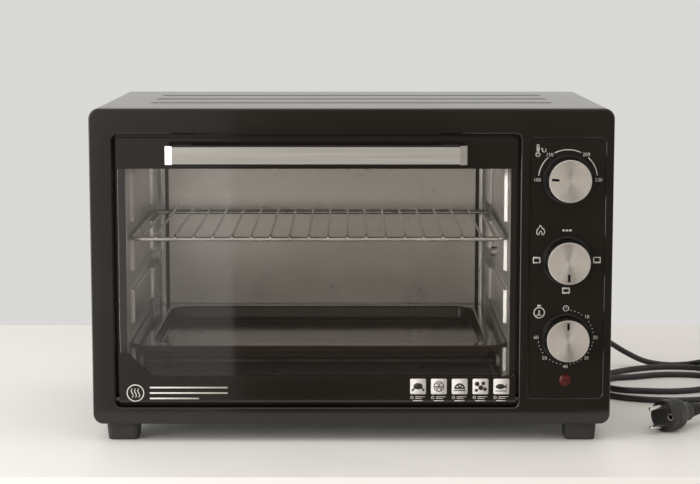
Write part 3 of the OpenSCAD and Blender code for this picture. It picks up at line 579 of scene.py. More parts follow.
CORD_D = 6.5
CORD_ROUTE = [
    (225, 325, 58), (227, 349, 57), (241, 369, 52.5), (268, 380, 44), (296, 382, 32),
    (320, 382, 17.5), (343, 379, 7), (367, 374, 3.6), (390, 369, 5), (408, 358, 9.8),
    (420, 341, 10.8), (423, 318, 10.6), (421, 297, 10.6), (414, 274, 7), (402, 252, 3.8),
    (380, 234, 3.3), (348, 225, 3.3), (313, 229, 3.3), (296, 234, 3.3), (283, 247, 3.3),
    (278, 266, 3.3), (283, 285, 3.3), (297, 298, 3.3), (318, 304, 3.3), (352, 317, 3.3),
    (386, 316, 3.3), (415, 301, 3.3), (432, 275, 3.3), (433, 243, 3.3), (419, 212, 3.3),
    (392, 190, 3.3), (358, 179, 3.3), (323, 181, 3.3), (290, 195, 3.3), (267, 221, 3.3),
    (258, 252, 3.3), (263, 284, 3.3), (280, 310, 3.3), (303, 332, 3.3), (331, 352, 3.3),
    (362, 363, 3.3), (393, 360, 3.3), (420, 344, 3.3), (439, 319, 3.3), (450, 288, 3.3),
    (452, 255, 3.3), (447, 219, 3.4), (433, 185, 3.5), (414, 153, 4.1), (394, 122, 7),
    (375, 97, 12.5)]
PLUG_FACE = (311, 43, 16.2)
PLUG_YAW = 40
PLUG_LENGTH = 62
PIN_ROLL = 86
PLUG_PLACE = (Matrix.Translation(at(*PLUG_FACE))
              @ Matrix.Rotation(math.radians(PLUG_YAW), 4, "Z"))
# a lathe turns about +Y, and the plug lies along its own +X
PLUG_LATHE = PLUG_PLACE @ Matrix.Rotation(math.radians(-90), 4, "Z")


def ribbed_relief(start, stop, r_start, r_stop, ribs):
    """Profile of a tapered strain relief with flexible ribs, from start to stop."""
    profile = []
    pitch = (stop - start) / ribs
    for i in range(ribs):
        r = r_start + (r_stop - r_start) * i / ribs
        begin = start + i * pitch
        profile += [(r * 0.82, begin), (r, begin + 0.16 * pitch), (r, begin + 0.58 * pitch),
                    (r * 0.82, begin + 0.74 * pitch)]
    return profile + [(r_stop, stop - 0.3), (0, stop)]


def make_plug():
    """Round two-pin plug: gripping flats, a stepped neck and a ribbed relief."""
    part = Builder()
    r = 16
    profile = [(0, 0.6), (12.9, 0.6), (13.2, 0), (r - 1.2, 0), (r - 0.3, 0.4), (r, 1.3), (r, 9),
               (r - 0.6, 9.6), (r - 0.6, 10.4), (r, 11), (r, 19), (r - 0.6, 21), (10.8, 28.4),
               (9.6, 29.4), (9.5, 37), (8.8, 38)]
    part.lathe(profile + ribbed_relief(38.4, PLUG_LENGTH, 7.5, 4.4, 6), PLUG_LATHE)
    # gripping flats, in metres: where they start and stop, and half the plug's height between them
    start, stop, half = 0.012, 0.030, 0.0125
    roll = Matrix.Rotation(math.radians(-PIN_ROLL), 4, "X")
    for vert in part.bm.verts:
        flat = roll @ (PLUG_PLACE.inverted() @ vert.co)
        if start < flat.x < stop and abs(flat.z) > half:
            squeeze = min(1, (flat.x - start) / 0.006)
            flat.z = math.copysign(abs(flat.z) - (abs(flat.z) - half) * 0.55 * squeeze, flat.z)
            vert.co = PLUG_PLACE @ (roll.inverted() @ flat)
    plug = part.done("plug", "oven", "cord_rubber", replaces=("plug_body",), sharp=50)
    holes = Builder()
    earth = PLUG_PLACE @ Matrix.Rotation(math.radians(PIN_ROLL), 4, "X")
    lie = Matrix.Rotation(math.radians(-90), 4, "Z")
    holes.lathe([(0, -2), (2.5, -2), (2.5, 10), (0, 10)],
                earth @ Matrix.Translation(Vector((0, 0, 10 * MM))) @ lie, 32)
    cut(plug, tool_from(holes))
    weigh_normals(plug)
    return plug, earth, lie


def make_plug_metal(earth, lie):
    """Nickelled pins with rounded tips, and the bush of the earth socket."""
    part = Builder()
    for side in (-1, 1):
        pin = earth @ Matrix.Translation(Vector((0, side * 9.5 * MM, 0))) @ lie
        part.lathe([(0, -19), (1.2, -18.8), (2.0, -18.2), (2.4, -17), (2.4, 4), (0, 4)], pin, 32)
    bush = earth @ Matrix.Translation(Vector((0, 0, 10 * MM))) @ lie
    part.lathe([(2.3, 8), (2.3, 0.4), (2.6, 0.0), (3.5, 0.0), (3.8, 0.4), (3.8, 1.2)],
               bush, 32)
    return part.done("plug_metal", "oven", "nickel_plate", replaces=("plug_pins",), sharp=40)


def make_gland():
    """Rubber bush in the back panel with its ribbed relief."""
    part = Builder()
    x, _, z = centre("cord_gland")
    place = Matrix.Translation(at(x, 0, z))
    back = span("back_panel").y1
    profile = [(0, back - 5), (8.9, back - 5), (8.9, back), (11.4, back), (12, back + 0.6),
               (12, back + 2.2), (11.2, back + 3), (8, back + 3.2)]
    part.lathe(profile + ribbed_relief(back + 3.6, span("cord_gland").y1, 7.5, 4.4, 6), place)
    return part.done("cord_bush", "oven", "cord_rubber", replaces=("cord_gland",), sharp=50)


def make_cord():
    """The cord itself: one smooth curve through its route, from the bush to the plug."""
    plug, earth, lie = make_plug()
    metal = make_plug_metal(earth, lie)
    gland = make_gland()
    data = bpy.data.curves.new("mains_cord", "CURVE")
    data.dimensions = "3D"
    data.bevel_depth = CORD_D / 2 * MM
    data.bevel_resolution = 6
    data.resolution_u = 8
    data.use_fill_caps = True
    route = [at(*p) for p in CORD_ROUTE] + [PLUG_PLACE @ Vector((PLUG_LENGTH * MM, 0, 0))]
    spline = data.splines.new("BEZIER")
    spline.bezier_points.add(len(route) - 1)
    for i, (knot, p) in enumerate(zip(spline.bezier_points, route)):
        reach = (route[min(i + 1, len(route) - 1)] - route[max(i - 1, 0)]) / 6
        knot.co = p
        knot.handle_left = p - reach
        knot.handle_right = p + reach
    cord = add_object("mains_cord", data)
    finish_piece(cord, "oven", "cord_rubber", replaces=("power_cord",))
    at(*CORD_ROUTE[0])


# ---- casing ----

def make_bezel():
    """Front frame: soft outer edge, recess for the door and window for the controls."""
    part = Builder()
    sheet = 1.2
    edge_r = 1.6
    recess = 15

    def casing(inset, y):
        outline = rounded(CASE.x0 + inset, CASE.x1 - inset, CASE.z0 + inset, CASE.z1 - inset,
                          CORNER_R - inset, 8)
        return part.upright(outline, y)

    def opening(by, y):
        return part.upright(rounded(*grown(OPENING, by), 5 + by), y)

    def window(by, y):
        return part.upright(rounded(*grown(WINDOW, by), 5 + by), y)

    outside = [casing(sheet, sheet), casing(sheet, CASE.y1), casing(0.6, CASE.y1),
               casing(0, CASE.y1 - 0.7)]
    outside += [casing(inset, depth) for inset, depth in fillet(edge_r, 6)]
    door_edge = [opening(inset, depth) for inset, depth in hole_edge(1.6)]
    recess_front = opening(0, recess - sheet)
    window_edge = [window(inset, depth) for inset, depth in hole_edge(1.15)]
    window_back = window(0, sheet)
    arm_x, slot_half = 191, 1.6
    holes = [rounded(*MOUTH, 1.5, 3)]
    for x in (CAVITY_X - arm_x, CAVITY_X + arm_x):
        holes.append(rounded(x - slot_half, x + slot_half, DOOR.z0 + 16.5, DOOR.z0 + 30.5, 0.5, 2))
    front_holes, back_holes = [], []
    for hole in holes:
        front_holes.append(part.upright(hole, recess - sheet))
        back_holes.append(part.upright(hole, recess))
    recess_back = opening(sheet, recess)
    plate_back = opening(sheet, sheet)
    part.bands(outside)
    part.plate(outside[-1], door_edge[0], window_edge[0])
    part.bands(door_edge + [recess_front])
    part.plate(recess_front, *front_holes)
    for a, b in zip(front_holes, back_holes):
        part.band(a, b)
    part.plate(recess_back, *back_holes)
    part.band(recess_back, plate_back)
    part.bands(window_edge + [window_back])
    part.plate(outside[0], plate_back, window_back)
    return part.done("front_bezel", "oven", "satin_black_paint", replaces=("front_frame",))


BEADS = (92, 156, 220)
BEAD_HALF = 204
BEAD_RISE = 0.65


def bead_height(x, y):
    """Height of the pressed beads above the top sheet."""
    total = 0
    for middle in BEADS:
        along = max(0, abs(x) - (BEAD_HALF - 5))
        away = math.hypot(along, y - middle) / 5.5
        if away < 1:
            total += BEAD_RISE * (0.5 + 0.5 * math.cos(math.pi * away))
    return total


def make_shell():
    """Wrap-round cover: pressed beads on top, vents on the right and flanges below."""
    part = Builder()
    shell = span("outer_shell")
    top = CASE.z1
    bottom = CASE.z0
    half = CASE.x1
    flange = 20
    ends = [s * 0.9 for s in range(-7, 8)]
    across = sorted({s * (BEAD_HALF - 1 + e) for e in ends for s in (-1, 1)} | {-100, 0, 100})
    depths = sorted({shell.y0, shell.y1, 40, 60, 125, 188, 250, 275}
                    | {b + 5.5 * s / 6 for b in BEADS for s in range(-6, 7)})

    def section(inset):
        """(x, z) points from one bottom flange over the top to the other."""
        r = CORNER_R - inset
        x_in = half - CORNER_R
        arc = [math.radians(a) for a in range(0, 91, 10)]
        right = [(half - flange, bottom + inset)]
        right += [(x_in + r * math.sin(a), bottom + CORNER_R - r * math.cos(a)) for a in arc]
        right += [(x_in + r * math.cos(a), top - CORNER_R + r * math.sin(a)) for a in arc]
        over = [(x, top - inset) for x in reversed(across) if abs(x) < x_in - 1]
        return right + over + [(-x, z) for x, z in reversed(right)]

    def skin(inset):
        lines = []
        for y in depths:
            points = []
            for x, z in section(inset):
                on_top = abs(z - (top - inset)) < 1e-6
                points.append(at(x, y, z + (bead_height(x, y) if on_top else 0)))
            lines.append(part.ring(points))
        part.bands(lines, closed=False)
        return lines

    outer, inner = skin(0), skin(SHEET)
    for a, b in ((outer[0], inner[0]), (outer[-1], inner[-1])):
        part.band(a, b, closed=False)
    for end in (0, -1):
        part.bands([[o[end], i[end]] for o, i in zip(outer, inner)], closed=False)
    piece = part.done("shell", "oven", "satin_black_paint", replaces=("outer_shell",), sharp=28)
    slots = Builder()
    vent_w, vent_h, pitch = 3, 40, 7
    for z0 in (bottom + 40, top - 80):
        for i in range(12):
            y0 = 180 + pitch * i
            vent = rounded(y0, y0 + vent_w, z0, z0 + vent_h, vent_w / 2, 4)
            slots.capped([slots.ring([at(x, y, z) for y, z in vent]) for x in (half - 3, half + 3)])
    cut(piece, tool_from(slots))
    weigh_normals(piece)


def make_feet():
    """Four tapered rubber feet with soft corners."""
    feet = span("feet")
    part = Builder()
    half = 16
    for x in (feet.x0 + half - 1.2, feet.x1 - half + 1.2):
        for y in (feet.y0 + half, feet.y1 - half):
            rings = []
            for inset, z, r in ((2.6, 0, 4), (1.7, 0.3, 5), (1.3, 1.1, 5), (0.6, 9, 5), (0, 18, 5)):
                side = half - inset
                rings.append(part.level(rounded(x - side, x + side, y - side, y + side, r, 5), z))
            part.capped(rings)
    part.done("foot_set", "oven", "foot_rubber", replaces=("feet",), sharp=50)


# ---- cavity walls ----

GUIDES = ((84.3, 109), (142.3, 161.8), (193, 210.8))
WALL_STEP = 3.6
GUIDE_END = 262
RAMPS = ((50, 53), (205, 208))
BACK_WALL = span("cavity_back_wall")
CAVITY_BACK = BACK_WALL.y0
BACK_R = 6
SEAM_D = 8
SHADED_SEAM_FACES = 3


def ease(value, start, stop):
    """Straight rise from 0 at start to 1 at stop, with softened ends."""
    t = min(1, max(0, (value - start) / (stop - start)))
    soft = 0.12
    if t < soft:
        rise = t * t / (2 * soft)
    elif t > 1 - soft:
        rise = 1 - soft - (1 - t) ** 2 / (2 * soft)
    else:
        rise = t - soft / 2
    return rise / (1 - soft)


def in_guide(z):
    """1 inside a rack guide, 0 outside, with rounded edges between."""
    return max(ease(z, low - 0.2, low + 1.8) * (1 - ease(z, high - 1.8, high + 0.2))
               for low, high in GUIDES)


def wall_line(z):
    """Plan of the right-hand wall at height z as (distance from the middle plane, y) points."""
    guide = in_guide(z)
    mouth = (MOUTH[1] - MOUTH[0]) / 2
    points = []
    stations = [CASE.y1 - 2, 30]
    for start, stop in (*RAMPS, (GUIDE_END, GUIDE_END + 8)):
        stations += [start + (stop - start) * i / 16 for i in range(17)]
    for y in stations:
        between = sum(ease(y, *ramp) for ramp in RAMPS)
        inside = 2 * ease(y, GUIDE_END, GUIDE_END + 8)
        points.append((mouth - WALL_STEP * (between + (inside - between) * guide), y))
    inner = mouth - 2 * WALL_STEP - BACK_R
    for i in range(9):
        turn = math.radians(90 * i / 8)
        points.append((inner + BACK_R * math.cos(turn), CAVITY_BACK + BACK_R * (math.sin(turn) - 1)))
    seam = CAVITY_BACK + SEAM_D
    back_half = (BACK_WALL.x1 - BACK_WALL.x0) / 2
    points += [(inner, seam), (back_half, seam), (back_half, CAVITY_BACK + 0.2)]
    return points


def make_side_walls():
    """The two pressed side walls: stepped between three rack guides."""
    bottom, top = MOUTH[2], MOUTH[3]
    heights = {bottom, bottom + 10, top - 30, top}
    for low, high in GUIDES:
        heights |= {low - 0.2 + 2 * i / 5 for i in range(-1, 7)}
        heights |= {high + 0.2 - 2 * i / 5 for i in range(-1, 7)}
    for name, side in (("left", -1), ("right", 1)):
        part = Builder()
        rows = [part.ring([at(CAVITY_X + side * u, y, z) for u, y in wall_line(z)])
                for z in sorted(heights)]
        part.bands(rows, closed=False)
        wall = part.done(f"{name}_wall", "oven", "aluminised_steel",
                         replaces=(f"cavity_{name}_wall",), sharp=60, normals=False)
        # painted shade: the faces of the back corner seam take the dark heater steel
        wall.data.materials.append(MATERIALS["element_steel"])
        columns = len(wall_line(bottom)) - 1
        for number, face in enumerate(wall.data.polygons):
            face.material_index = int(number % columns >= columns - SHADED_SEAM_FACES)
        facing = wall.data.polygons[0].normal.x * side
        thicken(wall, SHEET, 1 if facing > 0 else -1)


# ---- door handle ----

def make_handle():
    """Black bar on two posts, with a brushed strip whose ends are bent back."""
    grip = span("handle_grip")
    trim = span("handle_trim")
    bend = 7.5
    set_back = 4
    plate = 1.2
    middle_z = (grip.z0 + grip.z1) / 2

    ends = [(grip.x0, set_back), (grip.x0 + bend - 0.8, 0.3)]
    bends = [(grip.x0 + bend, 0)]
    strip = Builder()
    sections = []
    for low, high, stations in ((grip.z0, grip.z1, ends), (trim.z0, trim.z1, bends)):
        for x, back in stations:
            sections.append((x, trim.y0 + back, low, high))
    middle_x = (grip.x0 + grip.x1) / 2
    sections += [(2 * middle_x - x, y, low, high) for x, y, low, high in reversed(sections)]
    rings = [strip.ring([at(x, y, low), at(x, y, high), at(x, y + plate, high),
                         at(x, y + plate, low)]) for x, y, low, high in sections]
    strip.capped(rings)
    piece = strip.done("handle_strip", "door", "brushed_trim", replaces=("handle_trim",))
    bevel(piece, 0.4, first=True)

    bar = Builder()
    face = trim.y0 + plate + 0.05
    outline = [(grip.x0, face + set_back), (grip.x0 + bend, face), (grip.x1 - bend, face),
               (grip.x1, face + set_back), (grip.x1, -20), (grip.x0, -20)]
    bar.capped([bar.level(outline, z) for z in (grip.z0, grip.z1)])
    for side in (-1, 1):
        x = middle_x + side * (middle_x - grip.x0 - 14)
        bar.prism(rounded(x - 11, x + 11, middle_z - 8, middle_z + 8, 4), -20.2, DOOR.y0)
    piece = bar.done("handle_bar", "door", "black_plastic", replaces=("handle_grip",))
    bevel(piece, 1.0, first=True)


# ---- dials ----

def make_dial(name, pointer):
    """One dial: skirted black body and a spun metal cap with a pointer cut into it."""
    body = f"{name}_control"
    x, _, z = centre(f"{name}_dial")
    place = Matrix.Translation(at(x, 0, z))
    part = Builder()
    skirt = (span(f"{name}_dial").x1 - span(f"{name}_dial").x0) / 2
    part.lathe([(0, 0.7), (skirt - 0.4, 0.7), (skirt, 0.3), (skirt, -1.7), (skirt - 0.3, -2.3),
                (skirt - 0.9, -2.6), (21.9, -2.9), (21.4, -3.5), (21.2, -4.6), (20.95, -19.4),
                (20.8, -20.2), (20.3, -20.75), (0, -20.8)], place, 96)
    part.done(f"{name}_knob", body, "gloss_black", replaces=(f"{name}_dial",))
    cap = Builder()
    cap.lathe([(0, -22), (6, -22), (12, -22), (19.7, -22), (20.2, -21.8), (20.45, -21.4),
               (20.5, -20.9), (20.3, -20.8), (0, -20.8)], place, 96)
    face = cap.done(f"{name}_disc", body, "spun_metal", replaces=(f"{name}_cap",), sharp=20)
    turn = Matrix.Translation(at(x, 0, z)) @ Matrix.Rotation(math.radians(-pointer), 4, "Y")

    def slot_prism(builder, half_l, half_w, y0, y1):
        outline = rounded(14.2 - half_l, 14.2 + half_l, -half_w, half_w, 0.35, 3)
        builder.capped([builder.ring([turn @ Vector((u * MM, y * MM, w * MM)) for u, w in outline])
                        for y in (y0, y1)])

    slot = Builder()
    slot_prism(slot, 3.6, 1.25, -23, -21.5)
    cut(face, tool_from(slot))
    weigh_normals(face)
    inlay = Builder()
    slot_prism(inlay, 3.58, 1.23, -21.85, -21.5)
    inlay.done(f"{name}_pointer", body, "gloss_black")


# ---- rack and tray ----

def make_rack():
    """Wire rack: bent frame, doubled sides and back, and thin wires welded on top."""
    rack = span("wire_rack")
    part = Builder()
    bar_r = 2.25
    thin_r = 1.25
    z = rack.z0 + bar_r
    left, right = rack.x0 + bar_r, rack.x1 - bar_r
    front, back = rack.y0 + bar_r, rack.y1 - bar_r
    loop = rounded(left, right, front, back, 12, 6)
    part.sweep([at(x, y, z) for x, y in loop], bar_r, closed=True)
    inset = 9
    part.sweep([at(left, back - inset, z), at(right, back - inset, z)], bar_r - 0.5)
    for x in (left + inset, right - inset):
        part.sweep([at(x, front, z), at(x, back, z)], bar_r - 0.5)
    wires = 18
    top = rack.z1 - thin_r
    for i in range(wires):
        x = left + 24 + i * (right - left - 48) / (wires - 1)
        path = [(rack.y0 + 1.3, top - 1.9), (rack.y0 + 1.5, top - 0.9), (rack.y0 + 2.4, top - 0.2),
                (rack.y0 + 4, top), (rack.y1 - 4, top), (rack.y1 - 2.4, top - 0.2),
                (rack.y1 - 1.5, top - 0.9), (rack.y1 - 1.3, top - 1.9)]
        part.sweep([at(x, y, h) for y, h in path], thin_r, 10)
    part.done("rack_wires", "rack", "chrome_wire", replaces=("wire_rack",), sharp=50)


def make_tray():
    """Enamelled tray: turned-down lip, a shallow bowl and a floor pressed down inside a margin."""
    tray = span("baking_tray")
    part = Builder()
    top = tray.z1
    floor = top - 13.2
    rings = []
    # distance from the long and the short sides, height and corner radius
    for side, end, z, r in (
            (3, 3, top - 6, 22), (2.6, 2.6, top - 5.4, 22.4), (0.2, 0.2, top - 1.4, 24.8),
            (0, 0, top - 0.8, 25), (0.2, 0.2, top - 0.25, 24.8), (0.8, 0.8, top, 24.2),
            (18.9, 12.4, top, 25.6), (20.1, 13.6, top - 0.5, 24.4), (20.5, 14, top - 1.6, 24),
            (22, 17, floor + 2.4, 22), (22.8, 18, floor + 0.7, 21), (24.5, 19.6, floor, 19.5),
            (33, 31, floor, 12), (33.6, 31.6, floor - 0.2, 11.4), (34.4, 32.4, floor - 0.6, 10.6)):
        outline = rounded(tray.x0 + side, tray.x1 - side, tray.y0 + end, tray.y1 - end, r, 8)
        rings.append(part.level(outline, z))
    part.bands(rings)
    part.plate(rings[-1])
    piece = part.done("tray", "tray", "tray_enamel", replaces=("baking_tray",), sharp=60)
    thicken(piece, SHEET, -1)
    move_first(piece)


# ---- screws ----

def add_screw(part, head, direction, r, h, shank_r, shank_l):
    """Pan-head screw with a cross recess; head is the middle of its seat, direction points out."""
    aim = direction.to_track_quat("Y", "Z").to_matrix().to_4x4()
    place = Matrix.Translation(head) @ aim
    arm, slim = 0.52 * r, 0.14 * r

    def ring(outline, along):
        return part.ring([place @ Vector((u * MM, along * MM, w * MM)) for u, w in outline])

    cross = [(arm, -slim), (arm, slim), (slim, slim), (slim, arm), (-slim, arm), (-slim, slim),
             (-arm, slim), (-arm, -slim), (-slim, -slim), (-slim, -arm), (slim, -arm), (slim, -slim)]
    head_rings = [ring(circle(0, 0, shank_r, 24), -shank_l), ring(circle(0, 0, shank_r, 24), 0),
                  ring(circle(0, 0, r, 24), 0), ring(circle(0, 0, r, 24), 0.45 * h),
                  ring(circle(0, 0, 0.93 * r, 24), 0.75 * h), ring(circle(0, 0, 0.8 * r, 24), h)]
    recess = [ring(cross, h), ring([(0.6 * u, 0.6 * w) for u, w in cross], 0.25 * h)]
    part.bands(head_rings)
    part.plate(head_rings[0])
    part.plate(head_rings[-1], recess[0])
    part.band(*recess)
    part.plate(recess[1])


def make_screws():
    """Screws of the back panel, the wall spacers and the handle."""
    back = span("back_panel").y1
    half = CASE.x1
    top, bottom = CASE.z1, CASE.z0
    casing = [(s * (half - 8), z) for s in (-1, 1) for z in (top - 60, bottom + 60)]
    casing += [(-80, top - 8), (80, top - 8)]
    part = Builder()
    for x, z in casing:
        add_screw(part, at(x, back, z), Vector((0, 1, 0)), 3.4, 2.2, 1.7, 7)
    spacer_end = span("wall_spacers").y1
    for x in (-170, 170):
        add_screw(part, at(x, spacer_end - 6, top - 40), Vector((0, 1, 0)), 3.8, 2.5, 2, 12)
    part.done("casing_screw_set", "oven", "zinc_steel", replaces=("casing_screws",))
    part = Builder()
    s = span("handle_screws")
    for x in (s.x0 + 3.5, s.x1 - 3.5):
        add_screw(part, at(x, DOOR.y1, (s.z0 + s.z1) / 2), Vector((0, 1, 0)), 3.5, 2, 2,
                  DOOR.y1 - s.y0)
    part.done("handle_screw_set", "door", "zinc_steel", replaces=("handle_screws",))


# ---- printed marks ----

class Print(Builder):
    """Thin flat marks on an upright face; angles are clockwise from straight up."""

    def __init__(self, plane, x=0, z=0):
        super().__init__()
        self.plane = plane
        self.x = x
        self.z = z

    def face(self, outline, *holes):
        loops = [[(self.x + u, self.z + w) for u, w in loop] for loop in (outline, *holes)]
        self.plate(*[self.upright(loop, self.plane) for loop in loops])

    def dot(self, u, w, r):
        self.face(circle(u, w, r, 16))

    def oval(self, u, w, half_u, half_w):
        self.face([(u + half_u * c, w + half_w * s) for c, s in circle(0, 0, 1, 24)])

    def hoop(self, u, w, r, width):
        self.face(circle(u, w, r, 28), circle(u, w, r - width, 28))

    def line(self, start, end, width):
        (u0, w0), (u1, w1) = start, end
        length = math.hypot(u1 - u0, w1 - w0)
        across = (-(w1 - w0) / length * width / 2, (u1 - u0) / length * width / 2)
        self.face([(u0 + across[0], w0 + across[1]), (u0 - across[0], w0 - across[1]),
                   (u1 - across[0], w1 - across[1]), (u1 + across[0], w1 + across[1])])

    def arc(self, r, start, stop, width, u=0, w=0):
        steps = max(4, int(abs(stop - start) / 6))
        angles = [math.radians(start + (stop - start) * i / steps) for i in range(steps + 1)]
        outer, inner = ([(u + reach * math.sin(a), w + reach * math.cos(a)) for a in angles]
                        for reach in (r + width / 2, r - width / 2))
        self.face(outer + inner[::-1])

    def frame(self, u, w, width, height, stroke, r=0.8):
        box = (u - width / 2, u + width / 2, w - height / 2, w + height / 2)
        self.face(rounded(*box, r, 3), rounded(*grown(box, -stroke), max(0.1, r - stroke), 3))

    def number(self, text, u, w, height):
        """Digits in the plain built-in face, centred on (u, w)."""
        data = bpy.data.curves.new("digits", "FONT")
        data.body = text
        data.size = height * 1.38
        data.resolution_u = 3
        data.align_x = "CENTER"
        shape = add_object("digits", data)
        mesh = shown_mesh(shape)
        verts = [self.bm.verts.new(at(self.x + u + v.co.x, self.plane,
                                      self.z + w - height / 2 + v.co.y)) for v in mesh.vertices]
        for polygon in mesh.polygons:
            self.bm.faces.new([verts[i] for i in polygon.vertices])
        bpy.data.objects.remove(shape)

    def finish(self, name, body, ink, thick=0.06):
        for face in self.bm.faces:
            if face.normal.y > 0:
                face.normal_flip()
        piece = self.done(name, body, INK_SLOTS.get(ink, ink), ink, normals=False)
        thicken(piece, thick, 0)


def on_circle(r, angle):
    """(u, w) at that radius, clockwise from straight up."""
    return r * math.sin(math.radians(angle)), r * math.cos(math.radians(angle))


MARK_R = 28.4
NUMBER_R = 29.6
DIGIT_H = 3.5


def temperature_marks(face):
    x, _, z = centre("temperature_dial")
    marks = Print(face, x, z)
    for start, stop in ((-83, -43), (-27, 26), (43, 83)):
        marks.arc(MARK_R, start, stop, 0.95)
    for text, angle in (("100", -91), ("150", -37), ("200", 36), ("230", 91)):
        marks.number(text, *on_circle(NUMBER_R, angle), DIGIT_H)
    bulb_u, bulb_w = -29.1, 23.8
    marks.hoop(bulb_u, bulb_w, 2.3, 0.7)
    marks.frame(bulb_u, bulb_w + 6.1, 2.7, 7.6, 0.7, 1.2)
    marks.line((bulb_u, bulb_w), (bulb_u, bulb_w + 7), 0.8)
    marks.hoop(-25.6, 29.2, 0.9, 0.35)
    marks.arc(1.7, 40, 320, 0.7, -23.2, 27.9)
    marks.finish("temperature_marks", "oven", "grey_ink")


def function_marks(face):
    x, _, z = centre("function_dial")
    marks = Print(face, x, z)
    flame_u, flame_w = -25.5, 29.2
    left = [(-2.6, -4.6), (-4.1, -2.2), (-3.4, 0.8), (-1.4, 3.0), (-0.6, 5.2)]
    right = [(-0.6, 5.2), (1.0, 3.2), (1.6, 1.0), (2.6, 1.9), (3.9, -0.6), (3.4, -3.0), (2.2, -4.6)]
    inner = [(-1.5, -4.4), (-1.7, -2.4), (-0.1, -0.2), (1.2, -2.2), (0.9, -4.4)]
    for run in (left, right, inner):
        for a, b in zip(run, run[1:]):
            marks.line((flame_u + a[0], flame_w + a[1]), (flame_u + b[0], flame_w + b[1]), 0.85)
    for u in (-3.3, 0, 3.3):
        marks.line((u - 1.25, NUMBER_R - 0.4), (u + 1.25, NUMBER_R - 0.4), 1.9)
    # a box for each function, with dashes under its top, above its bottom or both
    for u, w, rises in ((-29.1, 0.3, (1.7,)), (29.1, 0.3, (-1.7,)), (-0.3, -29.6, (1.7, -1.7))):
        marks.frame(u, w, 7.4, 6.2, 1.05, 0.6)
        for rise in rises:
            for k in (-2, 0, 2):
                marks.line((u + k - 0.8, w + rise), (u + k + 0.8, w + rise), 0.6)
    marks.finish("function_marks", "oven", "grey_ink")


def timer_marks(face):
    x, _, z = centre("timer_dial")
    marks = Print(face, x, z)
    for i in range(6):
        marks.number(str(10 * (i + 1)), *on_circle(28.7, 45 * (i + 1)), DIGIT_H)
        for offset in (10.5, 18.5, 26.5, 34.5):
            marks.dot(*on_circle(26.9, 45 * i + offset), 0.5)
    marks.hoop(0, MARK_R, 3.0, 0.75)
    marks.line((0, MARK_R), (0, MARK_R + 1.7), 0.5)
    marks.line((0, MARK_R), (1.2, MARK_R), 0.5)
    watch_u, watch_w = -26, 24.2
    marks.hoop(watch_u, watch_w, 5.6, 1.0)
    marks.line((watch_u, watch_w - 2.4), (watch_u, watch_w + 2.6), 1.2)
    marks.line((watch_u - 2.6, watch_w - 2.4), (watch_u + 2.6, watch_w - 2.4), 0.8)
    marks.line((watch_u - 1.9, watch_w + 6.9), (watch_u + 1.9, watch_w + 6.9), 1.6)
    marks.finish("timer_marks", "oven", "grey_ink")


def food_pictures(marks, step, first, middle):
    """Five simple pictures in the dark ink: roast, flat bread, loaf, biscuits and fish."""
    u = first
    marks.oval(u, middle + 0.3, 4.6, 3.2)
    for s in (-1, 1):
        marks.line((u + s * 3, middle - 1), (u + s * 5.4, middle - 3.6), 1.3)
        marks.dot(u + s * 5.4, middle - 3.6, 1.0)
    u += step
    marks.hoop(u, middle, 5.2, 0.9)
    for angle in (30, 90, 150):
        a, b = on_circle(4.6, angle), on_circle(4.6, angle + 180)
        marks.line((u + a[0], middle + a[1]), (u + b[0], middle + b[1]), 0.7)
    for angle in (0, 120, 240):
        marks.dot(u + on_circle(2.7, angle)[0], middle + on_circle(2.7, angle)[1], 0.8)
    u += step
    marks.face([(u + 5.4 * math.cos(a), middle - 2.6 + 5.8 * math.sin(a))
                for a in (math.pi * i / 16 for i in range(17))],
               circle(u - 2.2, middle - 0.2, 0.8, 12), circle(u + 0.2, middle + 1, 0.8, 12),
               circle(u + 2.5, middle - 0.4, 0.8, 12))
    marks.line((u - 6, middle - 4), (u + 6, middle - 4), 1.0)
    u += step
    for du, dw, r in ((-3.3, 2.6, 2.3), (2.7, 3.2, 1.9), (0.2, -1.2, 2.5), (-4.0, -3.8, 1.6),
                      (4.3, -2.6, 1.9)):
        marks.dot(u + du, middle + dw, r)
    u += step
    marks.oval(u - 1, middle, 4.4, 2.6)
    marks.face([(u + 2.6, middle), (u + 5.8, middle + 2.8), (u + 5.0, middle), (u + 5.8, middle - 2.8)])
    marks.line((u - 5.6, middle - 4.4), (u + 5.6, middle - 4.4), 0.9)


def door_marks():
    """White tiles with pictures and captions of plain strokes, and a plain steam emblem."""
    face = DOOR.y0 - 0.04
    first, step, middle = 64.9, 20.3, DOOR.z0 + 18.3
    tile = 7.7
    tiles = Print(face)
    for i in range(5):
        u = first + i * step
        tiles.face(rounded(u - tile, u + tile, middle - tile, middle + tile, 1.2, 3))
        tiles.hoop(u - 5.9, middle - 10.9, 1.5, 0.5)
        tiles.line((u - 2.8, middle - 10.2), (u + 6.8, middle - 10.2), 0.55)
        tiles.line((u - 2.8, middle - 11.9), (u + 4.2, middle - 11.9), 0.45)
        tiles.line((u - 5.0, middle - 14.1), (u + 5.0, middle - 14.1), 0.7)
    emblem_u, emblem_w = DOOR.x0 + 15.5, DOOR.z0 + 11.8
    tiles.hoop(emblem_u, emblem_w, 8.6, 1.0)
    for k in (-3.2, 0, 3.2):
        for i in range(8):
            a, b = (math.pi * 2 * j / 8 for j in (i, i + 1))
            tiles.line((emblem_u + k + 0.9 * math.sin(a), emblem_w - 4.4 + 1.1 * i),
                       (emblem_u + k + 0.9 * math.sin(b), emblem_w - 4.4 + 1.1 * (i + 1)), 0.85)
    for i, length in enumerate((76, 76, 48)):
        w = emblem_w + 5.4 - 5.4 * i
        tiles.line((emblem_u + 14, w), (emblem_u + 14 + length, w), 1.5)
    tiles.finish("door_tiles", "door", "white_ink")
    pictures = Print(face - 0.07)
    food_pictures(pictures, step, first, middle)
    pictures.finish("door_pictures", "door", "black_plastic")


